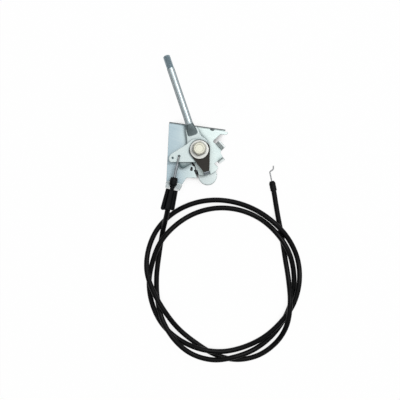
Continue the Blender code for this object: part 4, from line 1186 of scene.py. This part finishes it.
@dataclass(frozen=True)
class HandLever:
    """The rod with its threaded tip, the blade that it is swaged into, and the crank on the blade."""

    rod_radius: float = 3.9
    rod_height: float = 21.7
    tip: Row = (-34.9, 98.2)
    root: Row = (-10.2, 25.4)
    thread: float = 14.3
    pitch: float = 1.25
    thread_depth: float = 0.5
    blade: Row = (18.6, 3.0)
    crank: Row = (21.9, 2.0)
    blade_outline: tuple[Row, ...] = (
        (-14.6, 20.8, 1.0), (-12.9, 10.0, 4.0), (-13.1, -2.5, 6.0), (-20.4, -11.7, 3.0),
        (-20.9, -17.4, 3.4), (-17.4, -20.8, 3.0), (-12.6, -17.3, 3.0), (-2.0, -9.4, 4.0),
        (9.0, -4.5, 7.0), (8.6, 8.8, 7.0), (1.8, 14.0, 4.0), (-3.2, 23.8, 1.0),
    )
    crank_outline: tuple[Row, ...] = (
        (-32.4, -9.6, 3.6), (-30.4, -5.6, 3.0), (-13.1, 5.2, 1.5), (-7.4, 10.4, 4.0), (9.0, 9.2, 8.0),
        (9.4, -9.0, 8.0), (-4.6, -13.9, 3.0), (-31.4, -13.9, 3.8),
    )

    def line(self) -> tuple[float, Row]:
        """The rod's length from its root to its tip, and its direction."""
        run = np.array(self.tip) - np.array(self.root)
        return float(np.linalg.norm(run)), (*unit(run), 0.0)

    def rod(self) -> Piece:
        """The rod: (w·c, h·s) at each station, where c and s are cos a and sin a raised to a power
        that squares the section as it flattens into the blade; the thread is a helix cut into r."""
        length, way = self.line()
        low, high = self.blade[0] + self.blade[1] / 2, self.rod_height
        plain = (self.rod_radius, self.rod_radius, high, 1.0)
        stations = np.array([
            (-13.0, 6.2, 1.46, low, 0.45), (-11.6, 6.05, 1.5, low, 0.45), (-10.0, 5.8, 1.75, low + 0.2, 0.45),
            (-6.5, 5.3, 2.4, low + 0.7, 0.5), (-3.0, 4.8, 3.05, low + 1.15, 0.62),
            (0.2, 4.25, 3.65, high - 0.15, 0.85), (2.0, *plain),
        ])
        fine = np.linspace(stations[0, 0], stations[-1, 0], 40)
        angle = full_turn(72)
        tip_depth = np.array([0.5, 1.1, 1.5, self.rod_radius])
        swage = np.stack([np.interp(fine, stations[:, 0], stations[:, k]) for k in range(1, 5)], -1)
        cut_from = length - self.thread
        cut = np.arange(cut_from + 0.1, length - 1.0, self.pitch / 8)
        before = np.concatenate([fine, np.linspace(2.0, cut_from, 30)[1:]])
        s = np.concatenate([before, cut, [length - 0.9, length - 0.35, length, length]])
        forms = np.concatenate([swage, np.tile(plain, (len(s) - len(fine), 1))])
        width, thick, height, power = forms.T[..., None]
        depth = np.zeros((len(s), len(angle)))
        wave = thread_wave(cut[:, None], self.pitch, angle)
        depth[len(before) : len(before) + len(cut)] = self.thread_depth * wave
        depth[-len(tip_depth) :] = tip_depth[:, None]
        across = (width - depth) * powered(np.cos(angle), power)
        over = (thick - depth) * powered(np.sin(angle), power)
        points = Axis((*self.root, 0.0), way).places(across, over + height, s[:, None])
        return surface("lever_rod", np.concatenate([pole(points[0]), points]), sharp=40.0)

    def build(self) -> None:
        """Makes the lever's three visible forms."""
        rod = self.rod()
        Finish.ROD.dress(rod, Body.LEVER, "lever")
        length, way = self.line()
        root = place_along(self.root, way)
        # The swage takes the dark zinc of painted reflection.
        split_finish(rod, way, root + 0.001, Finish.SWAGE, past=False)
        split_finish(rod, way, root + (length - self.thread) * MM, Finish.THREAD)
        hole = circle_points(0.0, 0.0, 6.3)
        blade = plate("lever_blade", outline_points(self.blade_outline), [hole], *self.blade)
        Finish.BLADE.dress(blade, Body.LEVER)
        holes = [hole, circle_points(*WIRE_HOLE, 1.25, 32), circle_points(-28.1, -9.5, 1.05, 32)]
        crank = plate("bell_crank_plate", outline_points(self.crank_outline), holes, *self.crank)
        Finish.CRANK.dress(crank, Body.LEVER, "bell_crank")


@dataclass(frozen=True)
class WireLink:
    """The inner wire's end in the crank's hole and the tube that stiffens it."""

    wire_radius: float = 0.75
    low: float = 20.6
    wire_to: float = 32.2
    tube_from: float = 8.6
    tube_to: float = 28.8
    tube_radius: float = 1.6
    tube_bore: float = 1.05

    def build(self) -> None:
        """Makes the wire with its bent-down end, and the tube."""
        far = np.array(WIRE_HOLE) + np.array(CABLE_RUN) * self.wire_to
        corners = [(*WIRE_HOLE, self.low), (*WIRE_HOLE, WIRE_HEIGHT), (*far, WIRE_HEIGHT)]
        across = (-CABLE_RUN[1], CABLE_RUN[0], 0.0)
        wire = swept("lever_wire_end", bent_path(corners, 1.6), self.wire_radius, across)
        Finish.WIRE.dress(wire, Body.CONTROL_WIRE, "lever_wire")
        bore, outer, near, far = self.tube_bore, self.tube_radius, self.tube_from, self.tube_to
        rows = (
            (bore, far), (outer - 0.25, far), (outer, far - 0.4), (outer, near + 0.8), (outer - 0.25, near),
            (bore, near),
        )
        tube = turned("support_tube_sleeve", rows, CABLE_AXIS, softness=0.2, sides=48)
        Finish.TUBE.dress(tube, Body.CONTROL_WIRE, "support_tube")


@dataclass(frozen=True)
class CableFitting:
    """The moulded fitting: a domed head and neck in the forked tab, and a ribbed block with a finger."""

    head: tuple[Row, ...] = (
        (2.6, 23.2), (3.0, 22.8), (3.4, 23.3), (3.95, 24.5), (4.1, 26.4), (4.1, 30.8), (2.35, 31.2),
        (2.35, 35.9), (1.9, 35.9), (1.9, 30.8), (2.6, 30.4),
    )
    block_from: float = 35.8
    block_to: float = 57.2
    finger_to: float = 58.8
    finger_edge: float = -2.5
    left: Row = (-6.1, -7.3)
    right: Row = (6.5, 7.1)
    half_height: float = 4.4
    end_bulge: float = 0.9
    grooves: tuple[Row, ...] = ((-2.75, 2.4, 0.42), (0.0, 0.8, 0.5), (2.45, 0.8, 0.5), (4.8, 0.8, 0.5))

    def block(self) -> Piece:
        """The block: a section (x, z) of powers of cos a and sin a, whose top is cut by grooves
        d·exp(−((x − g)/w)²). Each of its points runs to an end of its own: the block's, or further
        out the finger's half circle. The far end bulges as a quarter ellipse, and a point closes
        each end."""
        angle = full_turn(192)
        x, z = powered(np.cos(angle), 0.5), powered(np.sin(angle), 0.3)
        middle = (self.left[0] + self.right[0]) / 2 + (self.right[0] - self.left[0]) / 2 * x
        finger = (self.left[0] + self.finger_edge) / 2
        reach = (self.finger_edge - self.left[0]) / 2
        round_end = np.sqrt(np.clip(1 - ((middle - finger) / reach) ** 2, 0, 1))
        corner = np.clip((middle - (self.right[0] - 2.0)) / 2.0, 0, 1)
        block_end = self.block_to - 1.6 * (1 - np.sqrt(1 - corner**2 * 0.999))
        end = np.where(middle < self.finger_edge, self.finger_to - reach * (1 - round_end), block_end)
        opening = np.linspace(0.15, math.pi / 2, 6)
        closing = opening[::-1]
        between = np.linspace(0.0, 1.0, 46)[1:-1]
        share = np.concatenate([0 * opening, between, 0 * closing + 1])[:, None]
        height = np.concatenate([np.sin(opening), 0 * between + 1, np.sin(closing)])[:, None]
        bulge = np.concatenate([0 * opening, 0 * between, self.end_bulge * np.cos(closing)])[:, None]
        along = self.block_from + share * (end - self.end_bulge - self.block_from) + bulge
        left = self.left[0] + (self.left[1] - self.left[0]) * share
        right = self.right[0] + (self.right[1] - self.right[0]) * share
        over = self.half_height * z
        for place, depth, width in self.grooves:
            over = over - depth * np.exp(-(((middle - place) / width) ** 2)) * (z > 0.5)
        points = CABLE_AXIS.places((left + right) / 2 + (right - left) / 2 * x, over * height, along)
        closed = np.concatenate([pole(points[0]), points, pole(points[-1])])
        return surface("cable_fitting_block", closed, sharp=60.0)

    def build(self) -> None:
        """Makes the head with its neck, and the block."""
        head = turned("cable_fitting_head", self.head, CABLE_AXIS, softness=0.5, sides=64)
        for piece in (head, self.block()):
            Finish.NYLON.dress(piece, Body.BASE, "cable_fitting")


@dataclass(frozen=True)
class Bracket:
    """The pressed bracket, the dent that stiffens its bend, and the round foot under its corner."""

    tab_root: Row = (-26.45, -34.8)
    tab_away: Row = (-0.2083, -0.9781)
    tab_hinge: float = 18.0
    tab_lean: float = math.radians(60)
    tab_more: float = math.radians(9)
    tab_length: float = 0.8875
    # Each side tab: its place, its outward direction, and where its bands of painted shade and painted
    # highlight start, in millimetres.
    side_tabs: tuple[tuple[Row, Row, Row], ...] = (
        ((20.2, 2.25), (0.743, 0.669), (0.2, 1.5)), ((21.8, -10.45), (0.613, -0.79), (0.1, 1.2)),
    )
    gusset_at: Row = (13.6, 20.9)
    gusset: Row = (2.3, 1.3, 0.7)
    flange_run: Row = (0.9906, -0.137)
    foot_at: Row = (8.8, -28.0)
    foot_radius: float = 9.8
    foot_top: float = 14.2
    foot_bore: float = 3.4

    def steepen_tab(self, sheet: Piece) -> None:
        """Bends the cable's tab further up: with d outwards and h up from its hinge, each point is
        drawn back along the tab and turned by the added lean times its own share of the bend."""
        places = vertex_places(sheet)
        away = np.array([*self.tab_away, 0.0])
        out = (places - from_pivot((*self.tab_root, 0.0))) @ away / MM
        rise = places[:, 2] / MM - self.tab_hinge
        bend = np.clip(np.arctan2(out, -rise) / self.tab_lean, 0.0, 1.0) * (out > 0.01)
        lean = np.array([math.cos(self.tab_lean), math.sin(self.tab_lean)])
        along = np.maximum(out * lean[0] + rise * lean[1], 0.0) * (bend >= 0.999)
        drawn = (1 - self.tab_length) * along
        near, high = out - drawn * lean[0], rise - drawn * lean[1]
        turn = self.tab_more * bend
        new_out = near * np.cos(turn) - high * np.sin(turn)
        new_high = near * np.sin(turn) + high * np.cos(turn)
        moved = places + (new_out - out)[:, None] * MM * away
        moved[:, 2] = (new_high + self.tab_hinge) * MM
        move_vertices(sheet, np.where((out > 0.01)[:, None], moved, places))

    def gusset_dent(self) -> None:
        """The dent in the flange's bend: the upper part of an ellipsoid."""
        angle = full_turn(48)[None, :]
        rise = np.linspace(-0.4, math.pi / 2, 12)[:, None]
        axis = Axis((*self.gusset_at, 16.5), UP, (*self.flange_run, 0.0))
        long, wide, tall = self.gusset
        plan = np.cos(rise)
        dent = axis.places(wide * plan * np.cos(angle), long * plan * np.sin(angle), tall * np.sin(rise))
        gusset = surface("flange_gusset_dent", np.concatenate([pole(dent[0]), dent]))
        # The dent takes the dark zinc of painted shade.
        Finish.PRESSED.dress(gusset, Body.BASE)

    def foot(self) -> None:
        """The round foot, with its bore."""
        outer, top, bore = self.foot_radius, self.foot_top, self.foot_bore
        rows = (
            (0.0, top), (outer - 0.7, top), (outer, top - 0.7), (outer, 0.8), (outer - 0.8, 0.0),
            (bore + 0.5, 0.0), (bore, 0.5), (bore, 9.0), (0.0, 10.6),
        )
        axis = Axis((*self.foot_at, 0.0), UP, NORTH)
        Finish.FOOT.dress(turned("mounting_foot_boss", rows, axis, 0.25), Body.BASE, "mounting_foot")

    def build(self) -> None:
        """Makes the bracket with rounded edges, its dent, and the turned foot."""
        sheet = softened_copy("bracket", "bracket_pressing", 0.35)
        self.steepen_tab(sheet)
        Finish.PLATE.dress(sheet, Body.BASE)
        # Painted highlight on the cable tab, past its root.
        way = (*self.tab_away, 0.0)
        split_finish(sheet, way, place_along(self.tab_root, way) + 0.0004, Finish.TAB)
        # Painted shade, then painted highlight, in bands across each side tab.
        for place, away, bands in self.side_tabs:
            way = (*away, 0.0)
            for start, finish in zip(bands, (Finish.PRESSED, Finish.TAB)):
                split_finish(sheet, way, place_along(place, way) + start * MM, finish, near=(place, 7.5))
        self.gusset_dent()
        self.foot()


def main() -> None:
    """Builds the stage and then the object, the cable first."""
    logging.basicConfig(level=logging.INFO, format="%(name)s: %(message)s")
    for part in (Studio(), ThrottleCable(), Bracket(), CableFitting(), HandLever(), PivotStack(), WireLink()):
        part.build()


if __name__ == "__main__":
    main()
